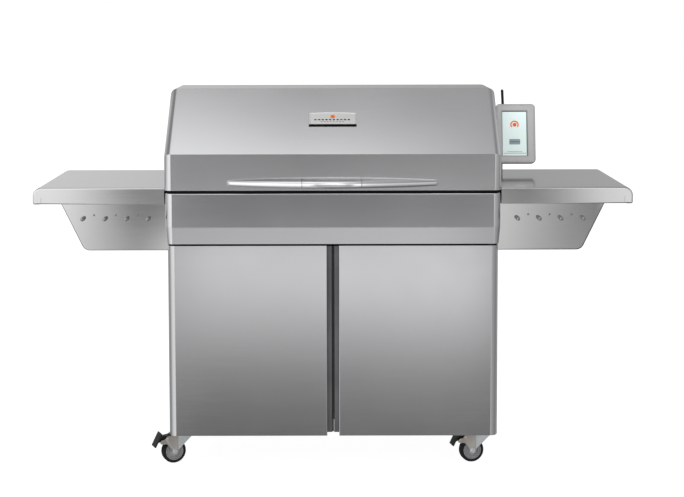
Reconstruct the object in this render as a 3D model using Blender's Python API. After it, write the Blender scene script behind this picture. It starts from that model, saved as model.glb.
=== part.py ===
"""Pellet smoker grill on a wheeled stainless cabinet.

Metres, +Z up. The origin is on the floor, under the middle of the bounding box.
+X is to the right of someone facing the grill, and the front faces -Y.
"""
import math

import bmesh
import bpy
from mathutils import Matrix, Vector

# ---- Driving dimensions --------------------------------------------------
GAP = 0.0003              # clearance between pieces that rest on each other
SHEET = 0.002             # folded stainless sheet
THIN = 0.0015             # lighter inner sheet

HOOD_FRONT = -0.341       # front plane of the hood
BODY_FRONT = HOOD_FRONT + 0.005
DOOR_FRONT = HOOD_FRONT + 0.014
BODY_BACK = HOOD_FRONT + 0.600
COVER_BACK = 0.419        # rear face of the hopper cover

HOOD_HALF = 0.543
BODY_HALF = 0.541
CABINET_HALF = 0.534
CORNER = 0.023            # radius on the vertical corners

CASTER_TOP = 0.1070
CABINET_BOTTOM = 0.1076
FLOOR_PAN_Z = 0.1497
DOOR_TOP = 0.7330
BODY_BOTTOM = 0.7388
BODY_CREASE = 0.7940
BODY_TOP = 0.9055
HOOD_BOTTOM = 0.9140
HOOD_CREASE = 1.0315
HOOD_TOP = 1.2300

# Hood profile, as distances behind its front plane
SLANT_END = 0.255
ROOF_END = 0.505
HOOD_REAR_CREASE = 1.0980

HINGE_Y = BODY_BACK + 0.0075
HINGE_Z = 0.9100
HINGE_X = 0.470
HINGE_R = 0.0065
HINGE_PIN_R = 0.0040

HANDLE_HALF = 0.336
HANDLE_FRONT = -COVER_BACK
HANDLE_Z = 0.939

DOOR_PIVOT_X = CABINET_HALF - 0.022
DOOR_PIVOT_Y = DOOR_FRONT + 0.022
DOOR_CENTRE_EDGE = 0.0194
DOOR_THICK = 0.030

SHELF_IN = 0.5448
SHELF_OUT = 0.970
SHELF_TOP = 0.9205
SHELF_DEEP = 0.054
SHELF_FRONT = HOOD_FRONT + 0.030
SHELF_BACK = SHELF_FRONT + 0.580
SHELF_EDGE_R = 0.027
BRACKET_FRONT = SHELF_FRONT + 0.021
BRACKET_BACK = SHELF_BACK - 0.021
BRACKET_BOTTOM = 0.714
BRACKET_OUT_TOP = 0.881      # how far out the sloping end reaches, at the top
BRACKET_OUT_BOTTOM = 0.807   # and at the bottom, before its rounded corner
HOOK_X = (0.599, 0.669, 0.739, 0.811)
HOOK_Z = 0.818

POT_Y = -0.030
POT_R = 0.065
AUGER_Z = 0.708
AUGER_R = 0.021
AUGER_BACK = 0.385

SCREEN_CENTRE = Vector((0.645, 0.180, 1.056))
SCREEN_TILT = math.radians(11.0)
HOUSING_HALF_X = 0.0700
HOUSING_HALF_Z = 0.1055
HOUSING_DEEP = 0.034
SCREEN_HALF_X = 0.0410
SCREEN_HALF_Z = 0.0835

WHEEL_R = 0.040
WHEEL_HALF = 0.014
TRAIL = 0.038
CASTER_X = 0.494
CASTER_FRONT_Y = -0.240
CASTER_BACK_Y = 0.215
CASTERS = {
    "front_left": (-CASTER_X, CASTER_FRONT_Y, 22.0),
    "front_right": (CASTER_X, CASTER_FRONT_Y, 12.0),
    "rear_left": (-CASTER_X, CASTER_BACK_Y, -9.0),
    "rear_right": (CASTER_X, CASTER_BACK_Y, 5.0),
}
PEDAL_PIVOT = (-0.062, 0.086)

SIDES = (("left", -1), ("right", 1))

# Cabinet
PANEL_FRONT = DOOR_PIVOT_Y + 0.0105
JAMB_Y = DOOR_PIVOT_Y + 0.0235
FLANGE = 0.032
PAN_FRONT = JAMB_Y + THIN + 0.001
PAN_BACK = BODY_BACK - 2 * THIN - 0.0016
RAIL_IN = 0.425
RAIL_OUT = CABINET_HALF - THIN - GAP

# Firebox and its liner
LINER_FLOOR = 0.753
LINER_LEDGE = 0.8865
TRAY_FLOOR = LINER_LEDGE - 0.036
POT_TOP = LINER_FLOOR + 0.030
POT_BOTTOM = AUGER_Z - 0.040
IGNITER_X = -0.030
IGNITER_Z = AUGER_Z - 0.016
LINER_RIM = BODY_TOP + GAP
LINER_HALF = 0.5150
LINER_FRONT = BODY_FRONT + 0.026
LINER_BACK = BODY_BACK - 0.026
LEDGE = 0.0135
FOLD_R = 0.003
DRAIN_X = -0.400
DRAIN_R = 0.010

# Rear cover, hopper, mains inlet and fan
COVER_HALF = 0.420
COVER_TOP = 0.888
COVER_BOTTOM = 0.300
COVER_FRONT = BODY_BACK + GAP
MOUTH = (-0.200, 0.200, 0.282, 0.400)
LID = (-0.214, 0.214, 0.2745, 0.4095)
INLET_X = 0.330
INLET_Z = 0.360
ROCKER_X = INLET_X - 0.015
ROCKER_Y = COVER_BACK - 0.008
FAN_X = -0.300
FAN_Z = 0.708
DUCT_R = 0.0216

# Antenna and casters
ANTENNA_PIVOT = (0.606, 0.2440, 1.1390)
LEG_IN = WHEEL_HALF + 0.0025
LEG_OUT = LEG_IN + 0.0025
BRIDGE_Z = 0.0985

FINISHES = {
    "brushed": ((0.60, 0.60, 0.62), 0.30, 1.0),
    "polished": ((0.80, 0.80, 0.80), 0.12, 1.0),
    "galvanised": ((0.55, 0.57, 0.58), 0.42, 1.0),
    "dark_steel": ((0.12, 0.12, 0.13), 0.45, 1.0),
    "cast_iron": ((0.05, 0.05, 0.05), 0.60, 1.0),
    "black_plastic": ((0.02, 0.02, 0.02), 0.50, 0.0),
    "grey_plastic": ((0.28, 0.28, 0.29), 0.50, 0.0),
    "silver_paint": ((0.62, 0.61, 0.60), 0.38, 0.3),
    "rubber": ((0.015, 0.015, 0.015), 0.70, 0.0),
    "glass": ((0.80, 0.95, 0.92), 0.08, 0.0),
}
ROUND_ANGLE = math.radians(35.0)


# ---- Building blocks -----------------------------------------------------
def clear_scene():
    for item in list(bpy.data.objects):
        bpy.data.objects.remove(item, do_unlink=True)


def principled(name, finish):
    colour, roughness, metallic = FINISHES[finish]
    material = bpy.data.materials.new(name)
    material.use_nodes = True
    shader = material.node_tree.nodes["Principled BSDF"]
    shader.inputs["Base Color"].default_value = (*colour, 1.0)
    shader.inputs["Roughness"].default_value = roughness
    shader.inputs["Metallic"].default_value = metallic
    return material


def add_piece(name, shape, finish, spot, yaw_deg=0.0):
    """Make an object from a shape drawn round its own origin, and set it down on a spot."""
    bmesh.ops.recalc_face_normals(shape, faces=shape.faces)
    mesh = bpy.data.meshes.new(name)
    shape.to_mesh(mesh)
    shape.free()
    mesh.materials.append(principled(name + "_finish", finish))
    mesh.shade_smooth()
    mesh.set_sharp_from_angle(angle=ROUND_ANGLE)
    piece = bpy.data.objects.new(name, mesh)
    piece.location = spot
    piece.rotation_euler = (0.0, 0.0, math.radians(yaw_deg))
    bpy.context.collection.objects.link(piece)
    return piece


def place(name, shape, finish, pivot=(0.0, 0.0, 0.0)):
    """Make an object from a shape drawn in world metres, with its origin on its pivot."""
    bmesh.ops.translate(shape, verts=shape.verts, vec=-Vector(pivot))
    return add_piece(name, shape, finish, pivot)


def loft(sections, capped=True):
    """Skin equal-sized closed sections; capped at both ends, or joined round into a ring."""
    shape = bmesh.new()
    rings = [[shape.verts.new(point) for point in section] for section in sections]
    count = len(rings[0])
    pairs = list(zip(rings, rings[1:]))
    if not capped:
        pairs.append((rings[-1], rings[0]))
    for low, high in pairs:
        for i in range(count):
            j = (i + 1) % count
            shape.faces.new((low[i], low[j], high[j], high[i]))
    if capped:
        shape.faces.new(rings[0])
        shape.faces.new(rings[-1])
    bmesh.ops.recalc_face_normals(shape, faces=shape.faces)
    return shape


AXIS_ORDER = {
    "X": lambda u, v, w: (w, u, v),
    "Y": lambda u, v, w: (u, w, v),
    "Z": lambda u, v, w: (u, v, w),
}


def section_at(outline, axis, place_on_axis):
    order = AXIS_ORDER[axis]
    return [order(u, v, place_on_axis) for u, v in outline]


def prism(outline, axis, low, high):
    """Extrude a closed outline along an axis. Outlines are (y, z), (x, z) or (x, y)."""
    return loft([section_at(outline, axis, low), section_at(outline, axis, high)])


def hollow_prism(outer, inner, axis, low, high):
    """A tube between two outlines with the same number of points, open at both ends."""
    return loft([section_at(outer, axis, low), section_at(outer, axis, high),
                 section_at(inner, axis, high), section_at(inner, axis, low)], capped=False)


def block(x0, x1, y0, y1, z0, z1):
    return prism([(x0, y0), (x1, y0), (x1, y1), (x0, y1)], "Z", z0, z1)


def circle(centre_u, centre_v, radius, steps):
    turns = [math.tau * i / steps for i in range(steps)]
    return [(centre_u + radius * math.cos(a), centre_v + radius * math.sin(a)) for a in turns]


def rod(centre_u, centre_v, radius, axis, low, high, steps=16):
    return prism(circle(centre_u, centre_v, radius, steps), axis, low, high)


def turned(profile, centre_u, centre_v, axis, steps, capped=True):
    """Turn (radius, position along axis) points round an axis."""
    return loft([section_at(circle(centre_u, centre_v, radius, steps), axis, along)
                 for radius, along in profile], capped)


def round_rect(x0, x1, y0, y1, radius, steps=4):
    corners = ((x1 - radius, y1 - radius, 0), (x0 + radius, y1 - radius, 1),
               (x0 + radius, y0 + radius, 2), (x1 - radius, y0 + radius, 3))
    points = []
    for cx, cy, quarter in corners:
        for i in range(steps + 1):
            angle = math.pi / 2 * (quarter + i / steps)
            points.append((cx + radius * math.cos(angle), cy + radius * math.sin(angle)))
    return points


def arc(cu, cv, radius, start_deg, end_deg, steps=5):
    angles = [math.radians(start_deg + (end_deg - start_deg) * i / steps) for i in range(steps + 1)]
    return [(cu + radius * math.cos(a), cv + radius * math.sin(a)) for a in angles]


def offset_line(points, distance):
    """An open line moved sideways to its left, with mitred corners."""
    offset = []
    for i, point in enumerate(points):
        here = Vector(point)
        before = (here - Vector(points[i - 1])).normalized() if i else None
        after = (Vector(points[i + 1]) - here).normalized() if i + 1 < len(points) else None
        before = before or after
        after = after or before
        left_a = Vector((-before.y, before.x))
        left_b = Vector((-after.y, after.x))
        mitre = (left_a + left_b).normalized()
        offset.append(tuple(here + mitre * distance / mitre.dot(left_a)))
    return offset


def strip(points, thickness):
    """Outline of a folded strip: a line, and the same line offset to its left."""
    return list(points) + offset_line(points, thickness)[::-1]


def combine(base, tool, operation):
    """Boolean of two closed shapes, worked out at once. Returns the new shape."""
    pieces = []
    for shape in (base, tool):
        bmesh.ops.recalc_face_normals(shape, faces=shape.faces)
        mesh = bpy.data.meshes.new("operand")
        shape.to_mesh(mesh)
        shape.free()
        piece = bpy.data.objects.new("operand", mesh)
        bpy.context.collection.objects.link(piece)
        pieces.append(piece)
    modifier = pieces[0].modifiers.new("combine", "BOOLEAN")
    modifier.operation = operation
    modifier.object = pieces[1]
    bpy.context.view_layer.update()
    graph = bpy.context.evaluated_depsgraph_get()
    result = bmesh.new()
    result.from_mesh(pieces[0].evaluated_get(graph).to_mesh())
    for piece in pieces:
        mesh = piece.data
        bpy.data.objects.remove(piece, do_unlink=True)
        bpy.data.meshes.remove(mesh)
    return result


def cut(base, *tools):
    for tool in tools:
        base = combine(base, tool, "DIFFERENCE")
    return base


def weld(base, *tools):
    for tool in tools:
        base = combine(base, tool, "UNION")
    return base


def mirror_x(outline, side):
    return [(side * x, y) for x, y in outline]


def gather(shapes):
    """Put separate closed shapes into one, for use as a single tool."""
    result = shapes[0]
    for shape in shapes[1:]:
        mesh = bpy.data.meshes.new("part")
        shape.to_mesh(mesh)
        shape.free()
        result.from_mesh(mesh)
        bpy.data.meshes.remove(mesh)
    return result


# ---- Cabinet -------------------------------------------------------------


def cabinet_sides():
    outer = CABINET_HALF
    inner = outer - THIN
    for word, side in SIDES:
        outline = [(outer, PANEL_FRONT), (outer, BODY_BACK), (inner - FLANGE, BODY_BACK),
                   (inner - FLANGE, BODY_BACK - THIN), (inner, BODY_BACK - THIN),
                   (inner, JAMB_Y + THIN), (inner - FLANGE, JAMB_Y + THIN),
                   (inner - FLANGE, JAMB_Y), (inner, JAMB_Y), (inner, PANEL_FRONT)]
        shape = prism(mirror_x(outline, side), "Z", CABINET_BOTTOM, BODY_BOTTOM - GAP)
        place("cabinet_side_" + word, shape, "brushed")


def cabinet_back():
    half = CABINET_HALF - THIN - GAP
    y1 = BODY_BACK - THIN - GAP
    shape = block(-half, half, y1 - THIN, y1, FLOOR_PAN_Z, BODY_BOTTOM - GAP)
    shape = cut(shape, rod(0.0, AUGER_Z, DUCT_R, "Y", y1 - 0.02, y1 + 0.02))
    place("cabinet_back", shape, "brushed")


def cabinet_floor():
    half = CABINET_HALF - THIN - GAP
    lip = FLOOR_PAN_Z + 0.018
    outer = [(-half, PAN_FRONT), (half, PAN_FRONT), (half, PAN_BACK), (-half, PAN_BACK)]
    inner = [(-half + THIN, PAN_FRONT + THIN), (half - THIN, PAN_FRONT + THIN),
             (half - THIN, PAN_BACK - THIN), (-half + THIN, PAN_BACK - THIN)]
    shape = loft([section_at(outer, "Z", FLOOR_PAN_Z), section_at(outer, "Z", lip),
                  section_at(inner, "Z", lip), section_at(inner, "Z", FLOOR_PAN_Z + THIN)])
    place("cabinet_floor", shape, "brushed")


def base_rails():
    wall = 0.0025
    top = FLOOR_PAN_Z - GAP
    for word, side in SIDES:
        outer = [(RAIL_IN, CABINET_BOTTOM), (RAIL_OUT, CABINET_BOTTOM), (RAIL_OUT, top), (RAIL_IN, top)]
        inner = [(RAIL_IN + wall, CABINET_BOTTOM + wall), (RAIL_OUT - wall, CABINET_BOTTOM + wall),
                 (RAIL_OUT - wall, top - wall), (RAIL_IN + wall, top - wall)]
        shape = hollow_prism(mirror_x(outer, side), mirror_x(inner, side), "Y",
                             PAN_FRONT, PAN_BACK)
        place("base_rail_" + word, shape, "dark_steel")


# ---- Firebox -------------------------------------------------------------
def plan(half, front, back, radius=CORNER):
    return round_rect(-half, half, front, back, radius)


def body_shell():
    foot_front = BODY_FRONT + 0.009
    foot_half = BODY_HALF - 0.005
    lip = 0.017
    lip_r = CORNER - lip
    sections = [
        (BODY_BOTTOM, foot_half, foot_front, BODY_BACK, CORNER),
        (BODY_CREASE, BODY_HALF, BODY_FRONT, BODY_BACK, CORNER),
        (BODY_TOP, BODY_HALF, BODY_FRONT, BODY_BACK, CORNER),
        (BODY_TOP, BODY_HALF - lip, BODY_FRONT + lip, BODY_BACK - lip, lip_r),
        (BODY_TOP - SHEET, BODY_HALF - lip, BODY_FRONT + lip, BODY_BACK - lip, lip_r),
        (BODY_TOP - SHEET, BODY_HALF - SHEET, BODY_FRONT + SHEET, BODY_BACK - SHEET, CORNER),
        (BODY_CREASE, BODY_HALF - SHEET, BODY_FRONT + SHEET, BODY_BACK - SHEET, CORNER),
        (BODY_BOTTOM + SHEET, foot_half - SHEET, foot_front + SHEET, BODY_BACK - SHEET, CORNER),
    ]
    shape = loft([section_at(plan(half, front, back, radius), "Z", z)
                  for z, half, front, back, radius in sections])
    shape = cut(shape, rod(0.0, POT_Y, POT_R + 0.003, "Z", BODY_BOTTOM - 0.01, BODY_BOTTOM + 0.01, 24),
                rod(DRAIN_X, 0.0, DRAIN_R, "Z", BODY_BOTTOM - 0.01, BODY_BOTTOM + 0.01, 12))
    place("body_shell", shape, "brushed")


def firebox_liner():
    top = LINER_RIM + THIN
    step = LEDGE + THIN
    rim = 0.0135
    sections = [
        (LINER_FLOOR, -LEDGE), (LINER_LEDGE - THIN, -LEDGE), (LINER_LEDGE - THIN, 0.0),
        (LINER_RIM, 0.0), (LINER_RIM, rim), (top, rim), (top, -THIN), (LINER_LEDGE, -THIN),
        (LINER_LEDGE, -step), (LINER_FLOOR + THIN, -step),
    ]
    shape = loft([section_at(plan(LINER_HALF + grow, LINER_FRONT - grow, LINER_BACK + grow, FOLD_R),
                             "Z", z) for z, grow in sections])
    shape = cut(shape, rod(0.0, POT_Y, POT_R + 0.003, "Z", LINER_FLOOR - 0.01, LINER_FLOOR + 0.01, 24),
                rod(DRAIN_X, 0.0, DRAIN_R, "Z", LINER_FLOOR - 0.01, LINER_FLOOR + 0.01, 12))
    place("firebox_liner", shape, "dark_steel")


def fire_pot():
    wall = 0.0025
    shape = turned([(POT_R, POT_BOTTOM), (POT_R, POT_TOP), (POT_R - wall, POT_TOP),
                    (POT_R - wall, POT_BOTTOM + wall)], 0.0, POT_Y, "Z", 28)
    feed = rod(0.0, AUGER_Z, 0.0180, "Y", POT_Y + 0.040, POT_Y + 0.100)
    igniter_hole = rod(IGNITER_X, IGNITER_Z, 0.0062, "Y", POT_Y + 0.030, POT_Y + 0.100, 12)
    place("fire_pot", cut(shape, feed, igniter_hole), "cast_iron")


def igniter_rod():
    shape = rod(IGNITER_X, IGNITER_Z, 0.0050, "Y", POT_Y + 0.046, POT_Y + 0.170, 12)
    place("igniter_rod", shape, "polished")


def heat_deflector():
    half = 0.175
    foot = LINER_FLOOR + THIN + GAP
    top = TRAY_FLOOR - 0.0005
    outline = strip([(-half, foot), (-half, top), (half, top), (half, foot)], -SHEET)
    place("heat_deflector", prism(outline, "Y", -0.205, 0.125), "dark_steel")


def drip_tray():
    lip = TRAY_FLOOR + 0.0175
    half = LINER_HALF - 0.030
    inset = 0.022
    front, back = LINER_FRONT + inset, LINER_BACK - inset
    outer = plan(half, front, back, FOLD_R)
    inner = plan(half - THIN, front + THIN, back - THIN, FOLD_R / 2)
    shape = loft([section_at(outer, "Z", TRAY_FLOOR), section_at(outer, "Z", lip),
                  section_at(inner, "Z", lip), section_at(inner, "Z", TRAY_FLOOR + THIN)])
    shape = cut(shape, rod(DRAIN_X, 0.0, DRAIN_R, "Z", TRAY_FLOOR - 0.01, TRAY_FLOOR + 0.01, 12))
    place("drip_tray", shape, "dark_steel")


def slotted_plate(x0, x1, y0, y1, z0, z1, border, slots, rib):
    """A flat plate with a row of long slots that run along Y."""
    pitch = (x1 - x0 - 2 * border + rib) / slots
    xs = [x0]
    for i in range(slots):
        xs += [x0 + border + i * pitch, x0 + border + (i + 1) * pitch - rib]
    xs.append(x1)
    middle = (y0 + y1) / 2
    ys = [y0, y0 + border, middle - rib, middle + rib, y1 - border, y1]
    columns, rows = len(xs) - 1, len(ys) - 1
    shape = bmesh.new()
    corners = {(i, j, k): shape.verts.new((x, y, z)) for i, x in enumerate(xs)
               for j, y in enumerate(ys) for k, z in enumerate((z0, z1))}

    def solid(i, j):
        inside = 0 <= i < columns and 0 <= j < rows
        return inside and not (i % 2 == 1 and j in (1, 3))

    for i in range(columns):
        for j in range(rows):
            if not solid(i, j):
                continue
            square = [(i, j), (i + 1, j), (i + 1, j + 1), (i, j + 1)]
            shape.faces.new([corners[(a, b, 1)] for a, b in square])
            shape.faces.new([corners[(a, b, 0)] for a, b in reversed(square)])
            beyond = [(i, j - 1), (i + 1, j), (i, j + 1), (i - 1, j)]
            for side in range(4):
                if not solid(*beyond[side]):
                    a, b = square[side], square[(side + 1) % 4]
                    shape.faces.new([corners[(*a, 0)], corners[(*b, 0)],
                                     corners[(*b, 1)], corners[(*a, 1)]])
    return shape


def cooking_grates():
    edge = LINER_HALF - THIN - 0.001
    for word, side in SIDES:
        x0, x1 = sorted((side * 0.0015, side * edge))
        shape = slotted_plate(x0, x1, LINER_FRONT + THIN + 0.001, LINER_BACK - THIN - 0.001,
                              LINER_LEDGE + GAP, LINER_LEDGE + GAP + 0.008, 0.018, 11, 0.014)
        place("cooking_grate_" + word, shape, "polished")


def temperature_probe():
    z = BODY_TOP - 0.004
    end = LINER_HALF - THIN - GAP
    shape = turned([(0.0020, end - 0.120), (0.0020, end - 0.006), (0.0045, end - 0.006),
                    (0.0045, end)], 0.10, z, "X", 10)
    place("temperature_probe", shape, "polished")


def hood_gasket():
    outer = plan(BODY_HALF - 0.0012, BODY_FRONT + 0.0012, BODY_BACK - 0.0012, 0.022)
    inner = plan(BODY_HALF - 0.0110, BODY_FRONT + 0.0110, BODY_BACK - 0.0110, FOLD_R)
    shape = hollow_prism(outer, inner, "Z", BODY_TOP + GAP, HOOD_BOTTOM - GAP)
    place("hood_gasket", shape, "rubber")


def grease_bucket():
    bottom = FLOOR_PAN_Z + THIN + GAP
    top = bottom + 0.170
    shape = turned([(0.070, bottom), (0.088, top), (0.091, top), (0.091, top + 0.003),
                    (0.0855, top + 0.003), (0.0680, bottom + THIN)], DRAIN_X, 0.0, "Z", 24)
    place("grease_bucket", shape, "galvanised")


# ---- Fuel feed and draught, in the rear cover ----------------------------


def rear_cover():
    def face(half, z0, z1, radius):
        return round_rect(-half, half, z0, z1, radius)

    outer = face(COVER_HALF, COVER_BOTTOM, COVER_TOP, 0.012)
    inner = face(COVER_HALF - SHEET, COVER_BOTTOM + SHEET, COVER_TOP - SHEET, 0.010)
    shape = loft([section_at(outer, "Y", COVER_BACK), section_at(outer, "Y", COVER_FRONT),
                  section_at(inner, "Y", COVER_FRONT), section_at(inner, "Y", COVER_BACK - SHEET)])
    x0, x1, y0, y1 = MOUTH
    guide_in = 0.004
    vents = [FAN_Z + 0.016 * i - 0.036 for i in range(5)]
    lid_top = COVER_TOP + GAP + SHEET + GAP
    guides = []
    for edge, inward in ((LID[2] - GAP, 1), (LID[3] + GAP, -1)):
        outline = [(edge - inward * SHEET, COVER_TOP - SHEET / 2), (edge, COVER_TOP - SHEET / 2),
                   (edge, lid_top), (edge + inward * guide_in, lid_top),
                   (edge + inward * guide_in, lid_top + THIN), (edge - inward * SHEET, lid_top + THIN)]
        guides.append(prism(outline, "X", -COVER_HALF + 0.012, COVER_HALF - 0.002))
    shape = weld(shape, gather(guides))
    shape = cut(shape, block(x0, x1, y0, y1, COVER_TOP - 0.01, COVER_TOP + 0.01),
                block(INLET_X - 0.0325, INLET_X + 0.0325, COVER_BACK - 0.01, COVER_BACK + 0.01,
                      INLET_Z - 0.0160, INLET_Z + 0.0160),
                gather([block(FAN_X - 0.050, FAN_X + 0.050, COVER_BACK - 0.01, COVER_BACK + 0.01,
                              z, z + 0.006) for z in vents]))
    place("rear_cover", shape, "brushed")


def hopper_lid():
    x0, x1, y0, y1 = LID
    low = COVER_TOP + GAP
    plate = block(x0, x1, y0, y1, low, low + SHEET)
    grip = block(x0 + 0.010, x0 + 0.014, y0 + 0.030, y1 - 0.030, low + SHEET / 2, low + 0.016)
    place("hopper_lid", weld(plate, grip), "brushed")


def hopper_bin():
    x0, x1, y0, y1 = MOUTH
    top = COVER_TOP - SHEET - GAP

    def ring(inset, hx, z):
        middle = (y0 + y1) / 2
        hy = (y1 - y0) / 2 + 0.003 if hx > 0.1 else 0.016
        hx, hy = hx - inset, hy - inset
        return section_at([(-hx, middle - hy), (hx, middle - hy), (hx, middle + hy),
                           (-hx, middle + hy)], "Z", z)

    foot = AUGER_Z + AUGER_R + 0.0012
    levels = ((x1 + 0.003, top), (x1 + 0.003, COVER_TOP - 0.050), (0.022, foot))
    outside = [ring(0.0, half, z) for half, z in levels]
    inside = [ring(THIN, half, z) for half, z in reversed(levels)]
    place("hopper_bin", loft(outside + inside, capped=False), "galvanised")


def auger_tube():
    start = POT_Y + POT_R + 0.0005
    outer = circle(0.0, AUGER_Z, AUGER_R, 20)
    inner = circle(0.0, AUGER_Z, AUGER_R - 0.0020, 20)
    shape = hollow_prism(outer, inner, "Y", start, AUGER_BACK)
    middle = (MOUTH[2] + MOUTH[3]) / 2
    shape = cut(shape, block(-0.012, 0.012, middle - 0.013, middle + 0.013,
                             AUGER_Z + 0.010, AUGER_Z + 0.030))
    place("auger_tube", shape, "galvanised")


def auger_screw():
    start = POT_Y + POT_R + 0.004
    end = AUGER_BACK - 0.002
    pitch = 0.050
    per_turn = 7
    shaft, flight = 0.0058, 0.0175
    blade = (flight, flight, shaft, shaft, shaft, shaft, shaft)
    widths = (-15, 15, 55, 117, 180, 243, 305)
    steps = int((end - start) / pitch * per_turn)
    sections = []
    for i in range(steps + 1):
        y = start + (end - start) * i / steps
        turn = math.tau * (y - start) / pitch
        sections.append([(r * math.cos(turn + math.radians(a)), y,
                          AUGER_Z + r * math.sin(turn + math.radians(a)))
                         for r, a in zip(blade, widths)])
    place("auger_screw", loft(sections), "cast_iron", pivot=(0.0, start, AUGER_Z))


def auger_motor():
    front = AUGER_BACK + 0.0006
    body = block(-0.038, 0.038, front, front + 0.026, AUGER_Z - 0.034, AUGER_Z + 0.034)
    can_box = block(0.044, 0.076, front - 0.020, front + 0.024, AUGER_Z - 0.028, AUGER_Z + 0.010)
    bridge = block(0.030, 0.050, front + 0.004, front + 0.020, AUGER_Z - 0.020, AUGER_Z)
    place("auger_motor", weld(body, bridge, can_box), "dark_steel")


def blower_housing():
    radius = 0.058
    y0, y1 = 0.300, 0.345
    wall = 0.002

    def scroll(inset):
        points = arc(FAN_X, FAN_Z, radius - inset, 90, 360, 15)
        points += [(FAN_X + radius - inset, FAN_Z + 0.020 + inset),
                   (FAN_X + 0.100 - inset, FAN_Z + 0.020 + inset),
                   (FAN_X + 0.100 - inset, FAN_Z + radius - inset)]
        return points

    shape = loft([section_at(scroll(0.0), "Y", y0), section_at(scroll(0.0), "Y", y1),
                  section_at(scroll(wall), "Y", y1), section_at(scroll(wall), "Y", y0 + wall)])
    place("blower_housing", shape, "black_plastic")


def fan_wheel():
    y0, y1 = 0.306, 0.338
    blades = 12
    outline = []
    for i in range(blades * 3):
        radius = 0.050 if i % 3 == 0 else 0.026
        angle = math.tau * i / (blades * 3)
        outline.append((FAN_X + radius * math.cos(angle), FAN_Z + radius * math.sin(angle)))
    shape = prism(outline, "Y", y0, y1)
    place("fan_wheel", shape, "grey_plastic", pivot=(FAN_X, y0, FAN_Z))


def power_inlet():
    shape = block(INLET_X - 0.0322, INLET_X + 0.0322, COVER_BACK - 0.026, COVER_BACK,
                  INLET_Z - 0.0157, INLET_Z + 0.0157)
    shape = cut(shape, block(INLET_X + 0.004, INLET_X + 0.028, COVER_BACK - 0.020, COVER_BACK + 0.01,
                             INLET_Z - 0.011, INLET_Z + 0.011),
                block(ROCKER_X - 0.0095, ROCKER_X + 0.0095, COVER_BACK - 0.020, COVER_BACK + 0.01,
                      INLET_Z - 0.012, INLET_Z + 0.012))
    place("power_inlet", shape, "black_plastic")


def power_rocker():
    """A switch rocker: round behind its pivot, a shallow roof in front, tipped to off."""
    tip = math.radians(7.0)
    radius = 0.0105
    outline = arc(0.0, 0.0, radius, 175, 365, 8)
    reach = 0.0068
    outline += [(0.0108, reach * 0.55), (0.0, reach), (-0.0108, reach * 0.55)]
    rolled = []
    for up, out in outline:
        rolled.append((ROCKER_Y + out * math.cos(tip) - up * math.sin(tip),
                       INLET_Z + up * math.cos(tip) + out * math.sin(tip)))
    shape = prism(rolled, "X", ROCKER_X - 0.0090, ROCKER_X + 0.0090)
    place("power_rocker", shape, "black_plastic", pivot=(ROCKER_X, ROCKER_Y, INLET_Z))


# ---- Hood ----------------------------------------------------------------
def hood_line(inset, bottom):
    """The hood's side view, front edge to back edge over the top, moved inwards by inset."""
    line = [(HOOD_FRONT, bottom), (HOOD_FRONT, HOOD_CREASE), (HOOD_FRONT + SLANT_END, HOOD_TOP),
            (HOOD_FRONT + ROOF_END, HOOD_TOP), (BODY_BACK, HOOD_REAR_CREASE), (BODY_BACK, bottom)]
    return offset_line(line, -inset)


def hood_solid(wall, bottom, steps=5):
    """The hood's outer form, or its inside when wall is the sheet's thickness."""
    radius = CORNER - wall
    half = HOOD_HALF - wall
    ends = []
    for i in range(steps + 1):
        angle = math.pi / 2 * (1 - i / steps)
        ends.append((half - radius + radius * math.sin(angle), wall + radius * (1 - math.cos(angle))))
    stations = [(-x, inset) for x, inset in ends] + [(x, inset) for x, inset in reversed(ends)]
    return loft([section_at(hood_line(inset, bottom), "X", x) for x, inset in stations])


def hood_shell():
    shape = cut(hood_solid(0.0, HOOD_BOTTOM), hood_solid(SHEET, HOOD_BOTTOM - 0.010))
    for side in (-1, 1):
        x = side * HINGE_X
        strap = block(x - 0.009, x + 0.009, BODY_BACK - 0.001, BODY_BACK + 0.0025,
                      HOOD_BOTTOM + 0.0006, HOOD_BOTTOM + 0.034)
        foot = block(x - 0.009, x + 0.009, BODY_BACK + 0.0012, BODY_BACK + 0.0035, HINGE_Z,
                     HINGE_Z + 0.008)
        knuckle = rod(HINGE_Y, HINGE_Z, HINGE_R, "X", x - 0.009, x + 0.009)
        bore = rod(HINGE_Y, HINGE_Z, HINGE_PIN_R + GAP, "X", x - 0.020, x + 0.020)
        shape = cut(weld(shape, weld(strap, foot, knuckle)), bore)
    place("hood_shell", shape, "brushed", pivot=(0.0, HINGE_Y, HINGE_Z))


def hood_hinges():
    for word, side in SIDES:
        x = side * HINGE_X
        leaf = block(x - 0.030, x + 0.030, BODY_BACK + GAP, BODY_BACK + 0.0028,
                     BODY_TOP - 0.0555, BODY_TOP - 0.0045)
        ranges = ((x - 0.030, x - 0.0095), (x + 0.0095, x + 0.030))
        webs = [block(a, b, BODY_BACK + 0.0012, BODY_BACK + 0.0035, HINGE_Z - 0.012, HINGE_Z) for a, b in ranges]
        knuckles = [rod(HINGE_Y, HINGE_Z, HINGE_R, "X", a, b) for a, b in ranges]
        pin = rod(HINGE_Y, HINGE_Z, HINGE_PIN_R, "X", x - 0.029, x + 0.029)
        place("hood_hinge_" + word, weld(leaf, gather(webs), gather(knuckles), pin), "dark_steel")


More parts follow.
